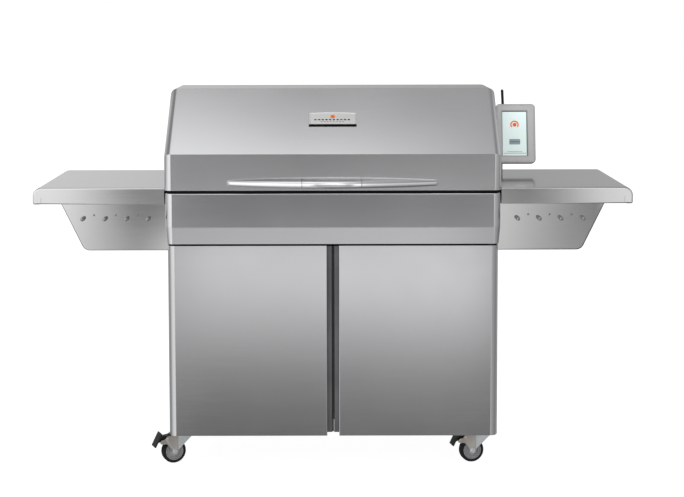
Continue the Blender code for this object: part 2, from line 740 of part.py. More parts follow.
def hood_handle():
    """A bow that bulges forwards in plan, thick in the middle and drawn out at its ends."""
    thin, thick = 0.0085, 0.0120
    root_y = HOOD_FRONT - thin - GAP
    bow = root_y - thick - HANDLE_FRONT
    stations, around = 18, 10
    sections = []
    for i in range(stations + 1):
        along = -1.0 + 2.0 * i / stations
        swell = 1.0 - along ** 2
        radius = thin + (thick - thin) * swell ** 0.7
        centre = Vector((along * HANDLE_HALF, root_y - bow * swell, HANDLE_Z))
        across = Vector((-2.0 * bow * along / HANDLE_HALF, -1.0, 0.0)).normalized()
        sections.append([centre + across * radius * math.cos(math.tau * k / around)
                         + Vector((0, 0, radius * math.sin(math.tau * k / around)))
                         for k in range(around)])
    place("hood_handle", loft(sections), "polished", pivot=(0.0, HINGE_Y, HINGE_Z))


def hood_badge():
    """A plain name plate with an arched top, flat on the slanted face."""
    half_x, half_z, rise = 0.078, 0.028, 0.004
    outline = [(-half_x, -half_z), (half_x, -half_z), (half_x, half_z)]
    outline += [(half_x * (1 - i / 4), half_z + rise * (1 - (1 - i / 4) ** 2)) for i in range(1, 8)]
    outline.append((-half_x, half_z))
    shape = prism(outline, "Y", -0.0060 - GAP, -GAP)
    slope = math.atan2(SLANT_END, HOOD_TOP - HOOD_CREASE)
    share = 0.51
    centre = Vector((0.0, HOOD_FRONT + share * SLANT_END, HOOD_CREASE + share * (HOOD_TOP - HOOD_CREASE)))
    shape.transform(Matrix.Translation(centre) @ Matrix.Rotation(-slope, 4, "X"))
    place("hood_badge", shape, "silver_paint", pivot=(0.0, HINGE_Y, HINGE_Z))


# ---- Doors ---------------------------------------------------------------
def doors():
    edge = DOOR_CENTRE_EDGE
    radius = CABINET_HALF - DOOR_PIVOT_X
    return_deep = 0.020
    front = DOOR_FRONT
    back = DOOR_FRONT + DOOR_THICK
    channel = front + 0.0225
    inside = front + THIN + GAP
    for word, side in SIDES:
        pivot = (side * DOOR_PIVOT_X, DOOR_PIVOT_Y, 0.0)
        line = [(edge, front + return_deep), (edge, front)]
        line += arc(DOOR_PIVOT_X, DOOR_PIVOT_Y, radius, 270, 360, 6)
        skin = prism(mirror_x(strip(line, THIN), side), "Z", CABINET_BOTTOM, DOOR_TOP)
        place("door_%s_skin" % word, skin, "brushed", pivot)
        x_in = edge + THIN + 0.0008
        outline = [(0.0030, back), (0.0030, channel), (x_in, channel), (x_in, inside),
                   (DOOR_PIVOT_X - 0.007, inside), (DOOR_PIVOT_X + 0.008, front + 0.010),
                   (DOOR_PIVOT_X + 0.0145, DOOR_PIVOT_Y), (DOOR_PIVOT_X + 0.0145, back)]
        low, high = CABINET_BOTTOM + 0.006, DOOR_TOP - 0.004
        pan = prism(mirror_x(outline, side), "Z", low, high)
        x0, x1 = sorted((side * (x_in + THIN), side * (DOOR_PIVOT_X - 0.008)))
        pan = cut(pan, block(x0, x1, front - 0.010, back - THIN, low + THIN, high - THIN))
        place("door_%s_pan" % word, pan, "dark_steel", pivot)


# ---- Side shelves --------------------------------------------------------
def shelf_tops():
    top, low, out, r = SHELF_TOP, SHELF_TOP - SHELF_DEEP, SHELF_OUT, SHELF_EDGE_R
    foot_r = 0.006
    outline = [(SHELF_IN, low), (SHELF_IN, top)] + arc(out - r, top - r, r, 90, 0, 6)
    outline += arc(out - foot_r, low + foot_r, foot_r, 0, -90, 2)
    inner = [(SHELF_IN + SHEET, low - 0.01), (SHELF_IN + SHEET, top - SHEET)]
    inner += arc(out - r, top - r, r - SHEET, 90, 0, 6) + [(out - SHEET, low - 0.01)]
    for word, side in SIDES:
        shape = cut(prism(mirror_x(outline, side), "Y", SHELF_FRONT, SHELF_BACK),
                    prism(mirror_x(inner, side), "Y", SHELF_FRONT + SHEET, SHELF_BACK - SHEET))
        place("shelf_top_" + word, shape, "brushed")


def shelf_brackets():
    """Open-topped boxes under the shelves, sloping outwards, closed against the body."""
    top = SHELF_TOP - SHELF_DEEP - GAP
    over = 0.010
    corner_r = 0.027
    out_top, out_bottom = BRACKET_OUT_TOP, BRACKET_OUT_BOTTOM
    slope = math.atan2(top - BRACKET_BOTTOM, out_top - out_bottom)
    setback = corner_r * math.tan(slope / 2)
    bend = arc(out_bottom - setback, BRACKET_BOTTOM + corner_r, corner_r,
               -90, -90 + math.degrees(slope), 5)
    rise = over / math.tan(slope)
    against_body = [(0.5415, BODY_CREASE), (0.5365, BODY_BOTTOM), (0.5345, BODY_BOTTOM - 0.004),
                    (0.5345, BRACKET_BOTTOM)]
    outer = [(0.5415, top)] + against_body + bend + [(out_top, top)]
    inner = offset_line([(0.5415, top + over)] + against_body + bend + [(out_top + rise, top + over)],
                        SHEET)
    inner[-1] = (inner[-1][0] + 0.002 / math.tan(slope), inner[-1][1] + 0.002)
    for word, side in SIDES:
        shape = cut(prism(mirror_x(outer, side), "Y", BRACKET_FRONT, BRACKET_BACK),
                    prism(mirror_x(inner, side), "Y", BRACKET_FRONT + SHEET, BRACKET_BACK - SHEET),
                    gather([rod(side * x, HOOK_Z, 0.0045, "Y", BRACKET_FRONT - 0.01,
                                BRACKET_FRONT + 0.01, 10) for x in HOOK_X]))
        place("shelf_bracket_" + word, shape, "brushed")


def tool_hooks():
    """Four pegs on one backing strip, which sits behind the bracket's front wall."""
    strip_front = BRACKET_FRONT + SHEET + GAP
    neck, head = 0.0040, 0.0056
    tip = BRACKET_FRONT - 0.027
    profile = [(neck, strip_front + 0.001), (neck, tip + 0.008), (head, tip + 0.006), (head, tip)]
    for word, side in SIDES:
        x0, x1 = sorted((side * (HOOK_X[0] - 0.014), side * (HOOK_X[-1] + 0.014)))
        bar = block(x0, x1, strip_front, strip_front + SHEET, HOOK_Z - 0.010, HOOK_Z + 0.010)
        pegs = [turned(profile, side * x, HOOK_Z, "Y", 8) for x in HOOK_X]
        place("tool_hooks_" + word, weld(bar, gather(pegs)), "polished")


# ---- Controller ----------------------------------------------------------
def leaned(shape):
    """Move a shape drawn upright round the screen's centre to its leaning place."""
    shape.transform(Matrix.Translation(SCREEN_CENTRE) @ Matrix.Rotation(-SCREEN_TILT, 4, "X"))
    return shape


def controller_housing():
    def ring(inset, y):
        outline = round_rect(-HOUSING_HALF_X + inset, HOUSING_HALF_X - inset,
                             -HOUSING_HALF_Z + inset, HOUSING_HALF_Z - inset, 0.014 - inset)
        return section_at(outline, "Y", y)

    shape = loft([ring(0.003, 0.0), ring(0.0, 0.005), ring(0.0, HOUSING_DEEP - 0.005),
                  ring(0.005, HOUSING_DEEP)])
    edge = 0.0004
    pocket = block(-SCREEN_HALF_X - edge, SCREEN_HALF_X + edge, -0.005, 0.0040,
                   -SCREEN_HALF_Z - edge, SCREEN_HALF_Z + edge)
    shape = leaned(cut(shape, pocket))
    x, y, z = ANTENNA_PIVOT
    stub = block(x - 0.0045, x + 0.0045, y - 0.016, y + 0.005, z - 0.020, z - 0.0065)
    place("controller_housing", weld(shape, stub), "silver_paint")


def touch_screen():
    shape = block(-SCREEN_HALF_X, SCREEN_HALF_X, 0.0006, 0.0037, -SCREEN_HALF_Z, SCREEN_HALF_Z)
    place("touch_screen", leaned(shape), "glass")


def controller_arm():
    lean = math.tan(SCREEN_TILT)
    foot_z = SHELF_TOP + GAP
    knee_z, top_z = SCREEN_CENTRE.z - 0.068, SCREEN_CENTRE.z + 0.047
    back_y = SCREEN_CENTRE.y + HOUSING_DEEP / math.cos(SCREEN_TILT) + 2 * GAP

    def plate_y(z):
        return back_y + (z - SCREEN_CENTRE.z) * lean

    line = [(plate_y(knee_z) + 0.052, foot_z), (plate_y(knee_z), foot_z),
            (plate_y(knee_z), knee_z), (plate_y(top_z), top_z)]
    place("controller_arm", prism(strip(line, -0.003), "X", 0.562, 0.602), "silver_paint")


def antenna():
    x, y, z = ANTENNA_PIVOT
    lean = -0.05
    levels = [(0.0050, 0.0), (0.0050, 0.0660), (0.0036, 0.0690)]
    stick = loft([section_at(circle(x + lean * up, y, radius, 10), "Z", z + up) for radius, up in levels])
    knuckle = rod(y, z, 0.0055, "X", x - 0.0044, x + 0.0044, 14)
    place("antenna", weld(stick, knuckle), "black_plastic", pivot=ANTENNA_PIVOT)


# ---- Casters -------------------------------------------------------------


def fork_shape():
    """Swivel head, bridge and two legs, with the axle bolt and the pedal's pin."""
    leg = [(-0.0475, 0.0400), (-0.0440, 0.0325), (-0.0380, 0.0300), (-0.0310, 0.0325),
           (0.0290, 0.0950), (0.0290, BRIDGE_Z), (-0.0440, BRIDGE_Z), (-0.0530, 0.0935),
           (-0.0660, 0.0915), (-0.0715, 0.0840), (-0.0840, 0.0810), (-0.0900, 0.0705), (-0.0790, 0.0672),
           (-0.0668, 0.0682), (-0.0590, 0.0600), (-0.0500, 0.0480)]
    bridge = block(-0.0430, 0.0280, -LEG_OUT + 0.0005, LEG_OUT - 0.0005, BRIDGE_Z - 0.003, BRIDGE_Z)
    head = turned([(0.026, BRIDGE_Z - 0.001), (0.029, 0.1010), (0.029, 0.1050), (0.025, CASTER_TOP)],
                  0.0, 0.0, "Z", 18)
    legs = [prism(leg, "Y", LEG_IN, LEG_OUT), prism(leg, "Y", -LEG_OUT, -LEG_IN)]
    bolt_head = LEG_OUT + 0.0035
    axle = turned([(0.0065, -bolt_head), (0.0065, -LEG_OUT), (0.0040, -LEG_OUT),
                   (0.0040, LEG_OUT), (0.0065, LEG_OUT), (0.0065, bolt_head)],
                  -TRAIL, WHEEL_R, "Y", 10)
    pin = rod(*PEDAL_PIVOT, 0.0022, "Y", -LEG_IN - 0.001, LEG_IN + 0.001, 8)
    return weld(bridge, head, gather(legs), axle, pin)


def tyre_shape():
    edge, seat = WHEEL_HALF, 0.0300
    return turned([(seat, -edge), (0.0365, -edge), (WHEEL_R, -edge + 0.005),
                   (WHEEL_R, edge - 0.005), (0.0365, edge), (seat, edge)],
                  0.0, 0.0, "Y", 24, capped=False)


def hub_shape():
    rim, face, bore = 0.0297, WHEEL_HALF - 0.0025, 0.0044
    nose = WHEEL_HALF + 0.001
    return turned([(rim, -face), (rim, face), (0.013, face), (0.010, nose), (bore, nose),
                   (bore, -nose), (0.010, -nose), (0.013, -face)], 0.0, 0.0, "Y", 16, capped=False)


def pedal_shape():
    """The brake's tread plate and the arm that joins it to its pin."""
    tread = strip([(-0.1075, 0.0600), (-0.0850, 0.1045)], -0.005)
    arm = [(-0.0990, 0.0800), (-0.0960, 0.0700), (-0.0700, 0.0790), (-0.0560, 0.0800),
           (-0.0555, 0.0910), (-0.0640, 0.0940), (-0.0880, 0.0930)]
    shape = weld(prism(tread, "Y", -0.020, 0.020), prism(arm, "Y", -0.010, 0.010))
    return cut(shape, rod(*PEDAL_PIVOT, 0.0026, "Y", -0.03, 0.03, 12))


def casters():
    for word, (x, y, yaw) in CASTERS.items():
        turn = math.radians(yaw)
        reach = Vector((-math.cos(turn), -math.sin(turn)))
        hub_spot = (x + TRAIL * reach.x, y + TRAIL * reach.y, WHEEL_R)
        add_piece("caster_fork_" + word, fork_shape(), "galvanised", (x, y, 0.0), yaw)
        add_piece("wheel_tyre_" + word, tyre_shape(), "rubber", hub_spot, yaw)
        add_piece("wheel_hub_" + word, hub_shape(), "grey_plastic", hub_spot, yaw)
        if word.startswith("front"):
            px, pz = PEDAL_PIVOT
            shape = pedal_shape()
            bmesh.ops.translate(shape, verts=shape.verts, vec=(-px, 0.0, -pz))
            spot = (x - px * reach.x, y - px * reach.y, pz)
            add_piece("brake_pedal_" + word, shape, "black_plastic", spot, yaw)


def build_grill():
    clear_scene()
    cabinet_sides()
    cabinet_back()
    cabinet_floor()
    base_rails()
    body_shell()
    firebox_liner()
    fire_pot()
    igniter_rod()
    heat_deflector()
    drip_tray()
    cooking_grates()
    temperature_probe()
    hood_gasket()
    grease_bucket()
    rear_cover()
    hopper_lid()
    hopper_bin()
    auger_tube()
    auger_screw()
    auger_motor()
    blower_housing()
    fan_wheel()
    power_inlet()
    power_rocker()
    hood_hinges()
    hood_shell()
    hood_handle()
    hood_badge()
    doors()
    shelf_tops()
    shelf_brackets()
    tool_hooks()
    controller_housing()
    touch_screen()
    controller_arm()
    antenna()
    casters()


build_grill()
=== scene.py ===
"""Looks of the pellet smoker grill: stainless sheet, casters, controller, studio and camera.

Metres, +Z up, front faces -Y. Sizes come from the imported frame.
"""
import math

import bmesh
import bpy
from mathutils import Matrix, Vector


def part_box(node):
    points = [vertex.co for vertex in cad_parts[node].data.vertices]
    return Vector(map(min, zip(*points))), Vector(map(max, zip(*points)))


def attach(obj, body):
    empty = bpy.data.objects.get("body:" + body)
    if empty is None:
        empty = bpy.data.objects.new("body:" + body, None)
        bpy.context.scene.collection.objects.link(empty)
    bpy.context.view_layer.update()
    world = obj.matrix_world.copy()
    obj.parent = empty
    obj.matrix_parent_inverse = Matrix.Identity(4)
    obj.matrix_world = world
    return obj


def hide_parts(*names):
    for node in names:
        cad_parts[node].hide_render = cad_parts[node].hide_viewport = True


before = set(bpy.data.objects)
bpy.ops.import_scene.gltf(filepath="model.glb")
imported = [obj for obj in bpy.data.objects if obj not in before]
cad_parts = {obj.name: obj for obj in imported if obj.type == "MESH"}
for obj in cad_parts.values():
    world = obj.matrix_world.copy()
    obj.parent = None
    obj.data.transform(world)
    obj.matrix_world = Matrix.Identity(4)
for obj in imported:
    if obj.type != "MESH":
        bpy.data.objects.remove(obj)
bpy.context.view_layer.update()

SHEET = 0.002
THIN = 0.0015
SIDES = (("left", -1), ("right", 1))
CASTER_WORDS = ("front_left", "front_right", "rear_left", "rear_right")


# ---- Shapes --------------------------------------------------------------
def loft(sections, capped=True):
    """Skin equal-sized closed sections; capped at both ends, or joined round into a ring."""
    shape = bmesh.new()
    rings = [[shape.verts.new(point) for point in section] for section in sections]
    count = len(rings[0])
    pairs = list(zip(rings, rings[1:]))
    if not capped:
        pairs.append((rings[-1], rings[0]))
    for low, high in pairs:
        for i in range(count):
            j = (i + 1) % count
            shape.faces.new((low[i], low[j], high[j], high[i]))
    if capped:
        shape.faces.new(rings[0])
        shape.faces.new(rings[-1])
    bmesh.ops.recalc_face_normals(shape, faces=shape.faces)
    return shape


ORDER = {
    "X": lambda u, v, w: (w, u, v),
    "Y": lambda u, v, w: (u, w, v),
    "Z": lambda u, v, w: (u, v, w),
}


def section_at(outline, axis, along):
    return [ORDER[axis](u, v, along) for u, v in outline]


def prism(outline, axis, low, high):
    return loft([section_at(outline, axis, low), section_at(outline, axis, high)])


def block(x0, x1, y0, y1, z0, z1):
    return prism([(x0, y0), (x1, y0), (x1, y1), (x0, y1)], "Z", z0, z1)


def circle(cu, cv, radius, steps=32):
    turns = [math.tau * i / steps for i in range(steps)]
    return [(cu + radius * math.cos(a), cv + radius * math.sin(a)) for a in turns]


def turned(profile, cu, cv, axis, steps=40, capped=True):
    """Turn (radius, position along axis) points round an axis."""
    return loft([section_at(circle(cu, cv, radius, steps), axis, along)
                 for radius, along in profile], capped)


def arc(cu, cv, radius, start_deg, end_deg, steps=10):
    angles = [math.radians(start_deg + (end_deg - start_deg) * i / steps) for i in range(steps + 1)]
    return [(cu + radius * math.cos(a), cv + radius * math.sin(a)) for a in angles]


def round_rect(x0, x1, y0, y1, radius, steps=8):
    points = []
    for cx, cy, start in ((x1 - radius, y1 - radius, 0), (x0 + radius, y1 - radius, 90),
                          (x0 + radius, y0 + radius, 180), (x1 - radius, y0 + radius, 270)):
        points += arc(cx, cy, radius, start, start + 90, steps)
    return points


def offset_line(points, distance, closed=False):
    """A line moved sideways to its left, with mitred corners."""
    moved, count = [], len(points)
    for i, point in enumerate(points):
        here = Vector(point)
        before = (here - Vector(points[i - 1])).normalized() if i or closed else None
        after = None
        if i + 1 < count or closed:
            after = (Vector(points[(i + 1) % count]) - here).normalized()
        before = before or after
        after = after or before
        left_a = Vector((-before.y, before.x))
        mitre = (left_a + Vector((-after.y, after.x))).normalized()
        moved.append(tuple(here + mitre * distance / mitre.dot(left_a)))
    return moved


def fillet(points, radii, steps=6):
    """An open line with its inner corners rounded, each by its own radius."""
    line = [points[0]]
    for i in range(1, len(points) - 1):
        corner = Vector(points[i])
        back = (Vector(points[i - 1]) - corner).normalized()
        ahead = (Vector(points[i + 1]) - corner).normalized()
        half = back.angle(ahead) / 2
        reach = radii[i - 1] / math.tan(half)
        centre = corner + (back + ahead).normalized() * radii[i - 1] / math.sin(half)
        first = corner + back * reach - centre
        sweep = first.angle_signed(corner + ahead * reach - centre)
        for k in range(steps + 1):
            spoke = first.copy()
            spoke.rotate(Matrix.Rotation(-sweep * k / steps, 2))
            line.append(tuple(centre + spoke))
    line.append(points[-1])
    return line


def strip(points, thickness):
    return list(points) + offset_line(points, thickness)[::-1]


def gather(shapes):
    """Several closed shapes as one."""
    result = bmesh.new()
    for shape in shapes:
        mesh = bpy.data.meshes.new("part")
        shape.to_mesh(mesh)
        shape.free()
        result.from_mesh(mesh)
        bpy.data.meshes.remove(mesh)
    return result


def mirror_x(outline, side):
    return [(side * u, v) for u, v in outline]


def cut_away(base, tool):
    """One closed shape less another, worked out at once."""
    pair = []
    for shape in (base, tool):
        bmesh.ops.recalc_face_normals(shape, faces=shape.faces)
        mesh = bpy.data.meshes.new("operand")
        shape.to_mesh(mesh)
        shape.free()
        operand = bpy.data.objects.new("operand", mesh)
        bpy.context.collection.objects.link(operand)
        pair.append(operand)
    modifier = pair[0].modifiers.new("cut", "BOOLEAN")
    modifier.operation = "DIFFERENCE"
    modifier.object = pair[1]
    bpy.context.view_layer.update()
    result = bmesh.new()
    result.from_mesh(pair[0].evaluated_get(bpy.context.evaluated_depsgraph_get()).to_mesh())
    for operand in pair:
        mesh = operand.data
        bpy.data.objects.remove(operand, do_unlink=True)
        bpy.data.meshes.remove(mesh)
    return result


def soften(item, width, segments=3, angle=30.0):
    """Small rounded edges, then normals that keep large flat faces flat."""
    if width:
        bevel = item.modifiers.new("edge", "BEVEL")
        bevel.width = width
        bevel.segments = segments
        bevel.limit_method = "ANGLE"
        bevel.angle_limit = math.radians(angle)
        bevel.harden_normals = False
        bevel.use_clamp_overlap = True
    flat = item.modifiers.new("flat_faces", "WEIGHTED_NORMAL")
    flat.mode = "FACE_AREA"
    flat.weight = 90
    flat.keep_sharp = True
    return item


def piece(name, shape, material, body, replaces=(), edge=0.0, sharp=40.0, move=None):
    """Make an object of the model that rides on a body."""
    bmesh.ops.recalc_face_normals(shape, faces=shape.faces)
    if move is not None:
        shape.transform(move)
    mesh = bpy.data.meshes.new(name)
    shape.to_mesh(mesh)
    shape.free()
    mesh.materials.append(material)
    mesh.shade_smooth()
    mesh.set_sharp_from_angle(angle=math.radians(sharp))
    item = bpy.data.objects.new(name, mesh)
    bpy.context.collection.objects.link(item)
    soften(item, edge)
    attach(item, body)
    if replaces:
        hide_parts(*replaces)
    return item


def dress(node, material, edge=0.0004):
    """Keep a CAD node's shape, with a finished material and broken edges."""
    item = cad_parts[node]
    item.data.materials.clear()
    item.data.materials.append(material)
    weld = item.modifiers.new("one_skin", "WELD")
    weld.merge_threshold = 0.00002
    item.data.shade_smooth()
    item.data.set_sharp_from_angle(angle=math.radians(32.0))
    soften(item, edge, 2)


# ---- Materials -----------------------------------------------------------
class Look:
    """A Principled material and short calls for the procedural nodes that feed it."""

    def __init__(self, name, colour, roughness, metallic=0.0, specular=0.5, coat=0.0):
        self.material = bpy.data.materials.new(name)
        self.material.use_nodes = True
        self.tree = self.material.node_tree
        self.shader = self.tree.nodes["Principled BSDF"]
        self.set("Base Color", (*colour, 1.0))
        self.set("Roughness", roughness)
        self.set("Metallic", metallic)
        self.set("Specular IOR Level", specular)
        self.set("Coat Weight", coat)
        self.colour = colour
        self.roughness = roughness
        coords = self.tree.nodes.new("ShaderNodeTexCoord")
        self.place = coords.outputs["Object"]

    def set(self, socket, value):
        self.shader.inputs[socket].default_value = value

    def node(self, kind, **values):
        made = self.tree.nodes.new("ShaderNode" + kind)
        for key, value in values.items():
            setattr(made, key, value)
        return made

    def link(self, out, into):
        self.tree.links.new(out, into)

    def noise(self, stretch, scale=1.0, detail=4.0, offset=0.0, rough=0.5):
        """Noise from -0.5 to 0.5 in the middle, with its own scale along X, Y and Z."""
        mapping = self.node("Mapping")
        mapping.inputs["Scale"].default_value = stretch
        mapping.inputs["Location"].default_value = (offset, offset * 1.7, offset * 0.6)
        self.link(self.place, mapping.inputs["Vector"])
        texture = self.node("TexNoise")
        texture.inputs["Scale"].default_value = scale
        texture.inputs["Detail"].default_value = detail
        texture.inputs["Roughness"].default_value = rough
        self.link(mapping.outputs["Vector"], texture.inputs["Vector"])
        return texture.outputs["Fac"]

    def spread(self, value, low, high, from_low=0.3, from_high=0.7):
        """Map a noise value onto a range."""
        ranged = self.node("MapRange")
        ranged.inputs["From Min"].default_value = from_low
        ranged.inputs["From Max"].default_value = from_high
        ranged.inputs["To Min"].default_value = low
        ranged.inputs["To Max"].default_value = high
        self.link(value, ranged.inputs["Value"])
        return ranged.outputs["Result"]

    def maths(self, operation, a, b):
        node = self.node("Math", operation=operation)
        for socket, value in zip(node.inputs, (a, b)):
            if isinstance(value, (int, float)):
                socket.default_value = value
            else:
                self.link(value, socket)
        return node.outputs[0]

    def tint(self, factor, dark, light):
        """Blend the base colour between two colours."""
        mix = self.node("Mix", data_type="RGBA")
        mix.inputs[6].default_value = (*dark, 1.0)
        mix.inputs[7].default_value = (*light, 1.0)
        self.link(factor, mix.inputs["Factor"])
        self.link(mix.outputs[2], self.shader.inputs["Base Color"])

    def rough(self, value):
        self.link(value, self.shader.inputs["Roughness"])

    def bump(self, height, distance, strength=1.0):
        node = self.node("Bump")
        node.inputs["Distance"].default_value = distance
        node.inputs["Strength"].default_value = strength
        self.link(height, node.inputs["Height"])
        if self.shader.inputs["Normal"].is_linked:
            self.link(self.shader.inputs["Normal"].links[0].from_socket, node.inputs["Normal"])
        self.link(node.outputs["Normal"], self.shader.inputs["Normal"])

    def edge_wear_and_shade(self, amount, colour):
        """Lighter or darker colour where the surface is sharply convex."""
        pointed = self.node("NewGeometry").outputs["Pointiness"]
        factor = self.spread(pointed, 0.0, amount, 0.52, 0.60)
        mix = self.node("Mix", data_type="RGBA")
        base = self.shader.inputs["Base Color"]
        if base.is_linked:
            self.link(base.links[0].from_socket, mix.inputs[6])
        else:
            mix.inputs[6].default_value = base.default_value[:]
        mix.inputs[7].default_value = (*colour, 1.0)
        self.link(factor, mix.inputs["Factor"])
        self.link(mix.outputs[2], base)


EVEN = (1.0, 1.0, 1.0)
GRAIN = {"x": (1.0, 60.0, 60.0), "y": (60.0, 1.0, 60.0), "z": (60.0, 60.0, 1.0)}


def shade(colour, factor):
    return tuple(min(channel * factor, 1.0) for channel in colour)


def brushed_steel(name, along="x", colour=(0.60, 0.605, 0.62), roughness=0.13, depth=0.000006, seed=0.0):
    """Stainless sheet with fine directional grain, faint blotches and handling haze."""
    look = Look(name, colour, roughness, metallic=1.0)
    fine = look.noise(GRAIN[along], 20.0, 3.0, seed, 0.6)
    broad = look.noise(GRAIN[along], 3.2, 2.0, seed + 3.0)
    haze = look.noise(EVEN, 3.5, 3.0, seed + 7.0)
    streak = look.maths("ADD", look.maths("MULTIPLY", fine, 0.75), look.maths("MULTIPLY", broad, 0.25))
    look.tint(look.spread(streak, 0.0, 1.0), shade(colour, 0.97), shade(colour, 1.02))
    grainy = look.spread(streak, roughness - 0.012, roughness + 0.012)
    look.rough(look.maths("ADD", grainy, look.spread(haze, -0.008, 0.012)))
    look.bump(fine, depth)
    return look.material


def polished_steel(name, colour=(0.78, 0.78, 0.79), roughness=0.10):
    look = Look(name, colour, roughness, metallic=1.0)
    haze = look.noise(EVEN, 12.0, 3.0)
    lines = look.noise((1.0, 90.0, 90.0), 12.0, 2.0, 2.0)
    look.rough(look.maths("ADD", look.spread(haze, roughness - 0.02, roughness + 0.04),
                          look.spread(lines, -0.015, 0.02)))
    look.tint(look.spread(lines, 0.0, 1.0), shade(colour, 0.96), shade(colour, 1.03))
    look.bump(lines, 0.000004)
    return look.material


def zinc_plate(name, colour):
    look = Look(name, colour, 0.36, metallic=1.0)
    spangle = look.noise(EVEN, 160.0, 2.0, 1.0)
    cloud = look.noise(EVEN, 28.0, 4.0, 5.0)
    mixed = look.maths("ADD", look.maths("MULTIPLY", spangle, 0.4), look.maths("MULTIPLY", cloud, 0.6))
    look.tint(look.spread(mixed, 0.0, 1.0), shade(colour, 0.84), shade(colour, 1.12))
    look.rough(look.spread(cloud, 0.28, 0.46))
    look.bump(spangle, 0.00003)
    look.edge_wear_and_shade(0.5, (0.75, 0.76, 0.76))
    return look.material


def painted_steel(name, colour, roughness=0.45, metallic=0.6, speckle=0.00004):
    look = Look(name, colour, roughness, metallic)
    peel = look.noise(EVEN, 420.0, 2.0)
    cloud = look.noise(EVEN, 9.0, 4.0, 4.0)
    look.tint(look.spread(cloud, 0.0, 1.0), shade(colour, 0.82), shade(colour, 1.18))
    look.rough(look.spread(cloud, roughness - 0.06, roughness + 0.08))
    look.bump(peel, speckle)
    look.edge_wear_and_shade(0.35, shade(colour, 2.2))
    return look.material


def cast_iron(name):
    look = Look(name, (0.05, 0.048, 0.046), 0.62, metallic=0.9)
    grit = look.noise(EVEN, 520.0, 5.0)
    rust = look.noise(EVEN, 24.0, 5.0, 2.0)
    look.tint(look.spread(rust, 0.0, 1.0, 0.45, 0.72), (0.045, 0.043, 0.042), (0.11, 0.075, 0.055))
    look.rough(look.spread(grit, 0.5, 0.75))
    look.bump(grit, 0.00025)
    return look.material


def heat_tinted(name):
    """Steel above a fire: straw and blue heat colours under a thin film of smoke."""
    look = Look(name, (0.30, 0.27, 0.24), 0.42, metallic=1.0)
    drift = look.noise(EVEN, 4.0, 4.0, 3.0)
    grain = look.noise(GRAIN["x"], 10.0, 2.0, 1.0)
    look.tint(look.spread(drift, 0.0, 1.0), (0.16, 0.145, 0.15), (0.42, 0.36, 0.29))
    look.rough(look.spread(drift, 0.34, 0.56))
    look.bump(grain, 0.00001)
    return look.material


def moulded_plastic(name, colour, roughness=0.48, texture=0.00006, shine=0.25):
    look = Look(name, colour, roughness, specular=shine)
    grain = look.noise(EVEN, 900.0, 2.0)
    cloud = look.noise(EVEN, 30.0, 3.0, 6.0)
    look.tint(look.spread(cloud, 0.0, 1.0), shade(colour, 0.85), shade(colour, 1.2))
    look.rough(look.spread(grain, roughness - 0.05, roughness + 0.07))
    look.bump(grain, texture)
    look.edge_wear_and_shade(0.4, shade(colour, 2.6))
    return look.material


def tyre_rubber(name):
    look = Look(name, (0.012, 0.012, 0.012), 0.75, specular=0.10)
    grain = look.noise(EVEN, 700.0, 3.0)
    dust = look.noise(EVEN, 40.0, 4.0, 3.0)
    look.tint(look.spread(dust, 0.0, 1.0), (0.007, 0.007, 0.0075), (0.020, 0.020, 0.020))
    look.rough(look.spread(dust, 0.66, 0.85))
    look.bump(grain, 0.00005)
    return look.material


def silver_paint(name, colour, roughness=0.34):
    """Satin metallic paint with fine flake."""
    look = Look(name, colour, roughness, metallic=0.55)
    flake = look.noise(EVEN, 1500.0, 1.0)
    cloud = look.noise(EVEN, 14.0, 3.0, 2.0)
    look.tint(look.spread(flake, 0.0, 1.0), shade(colour, 0.90), shade(colour, 1.08))
    look.rough(look.spread(cloud, roughness - 0.03, roughness + 0.05))
    look.bump(flake, 0.00001)
    # Darker convex edges on the bezel: painted shade.
    look.edge_wear_and_shade(0.25, shade(colour, 0.72))
    return look.material


def lit_screen(name, colour, strength, ripple=0.02):
    """A backlit panel with a faint unevenness, under glossy glass."""
    look = Look(name, colour, 0.12, specular=0.5)
    cloud = look.noise((1.0, 1.0, 3.0), 9.0, 2.0)
    mix = look.node("Mix", data_type="RGBA")
    mix.inputs[6].default_value = (*shade(colour, 1.0 - ripple), 1.0)
    mix.inputs[7].default_value = (*shade(colour, 1.0 + ripple), 1.0)
    look.link(look.spread(cloud, 0.0, 1.0), mix.inputs["Factor"])
    look.link(mix.outputs[2], look.shader.inputs["Base Color"])
    look.link(mix.outputs[2], look.shader.inputs["Emission Color"])
    look.set("Emission Strength", strength)
    return look.material


# ---- Studio, floor and camera ----------------------------------------------
def ramp_nodes(tree, value, stops):
    """Piecewise-linear grey curve of a 0..1 value."""
    ramp = tree.nodes.new("ShaderNodeValToRGB")
    ramp.color_ramp.interpolation = "LINEAR"
    elements = ramp.color_ramp.elements
    while len(elements) > 1:
        elements.remove(elements[-1])
    elements[0].position = stops[0][0]
    elements[0].color = (*[stops[0][1]] * 3, 1.0)
    for position, level in stops[1:]:
        elements.new(position).color = (*[level] * 3, 1.0)
    tree.links.new(value, ramp.inputs["Fac"])
    return ramp.outputs["Color"]


# Radiance by elevation in degrees, seen from the grill towards the room in front
FRONT_LEVELS = ((-90, 0.25), (-45, 0.35), (-32, 0.78), (-26, 0.80), (-21, 0.55), (-18, 0.20), (-15.5, 0.16),
                (-14.2, 0.25), (-12.9, 0.32), (-11.5, 0.70), (-10.1, 0.96), (-9.1, 1.22), (-8.5, 1.30),
                (-7.6, 0.50), (-6.8, 0.33), (-6.2, 0.38), (-5.5, 0.43), (-5.0, 0.24), (-4.0, 0.17),
                (-2.5, 0.25), (3, 0.60), (12, 1.25), (60, 1.25), (90, 0.90))
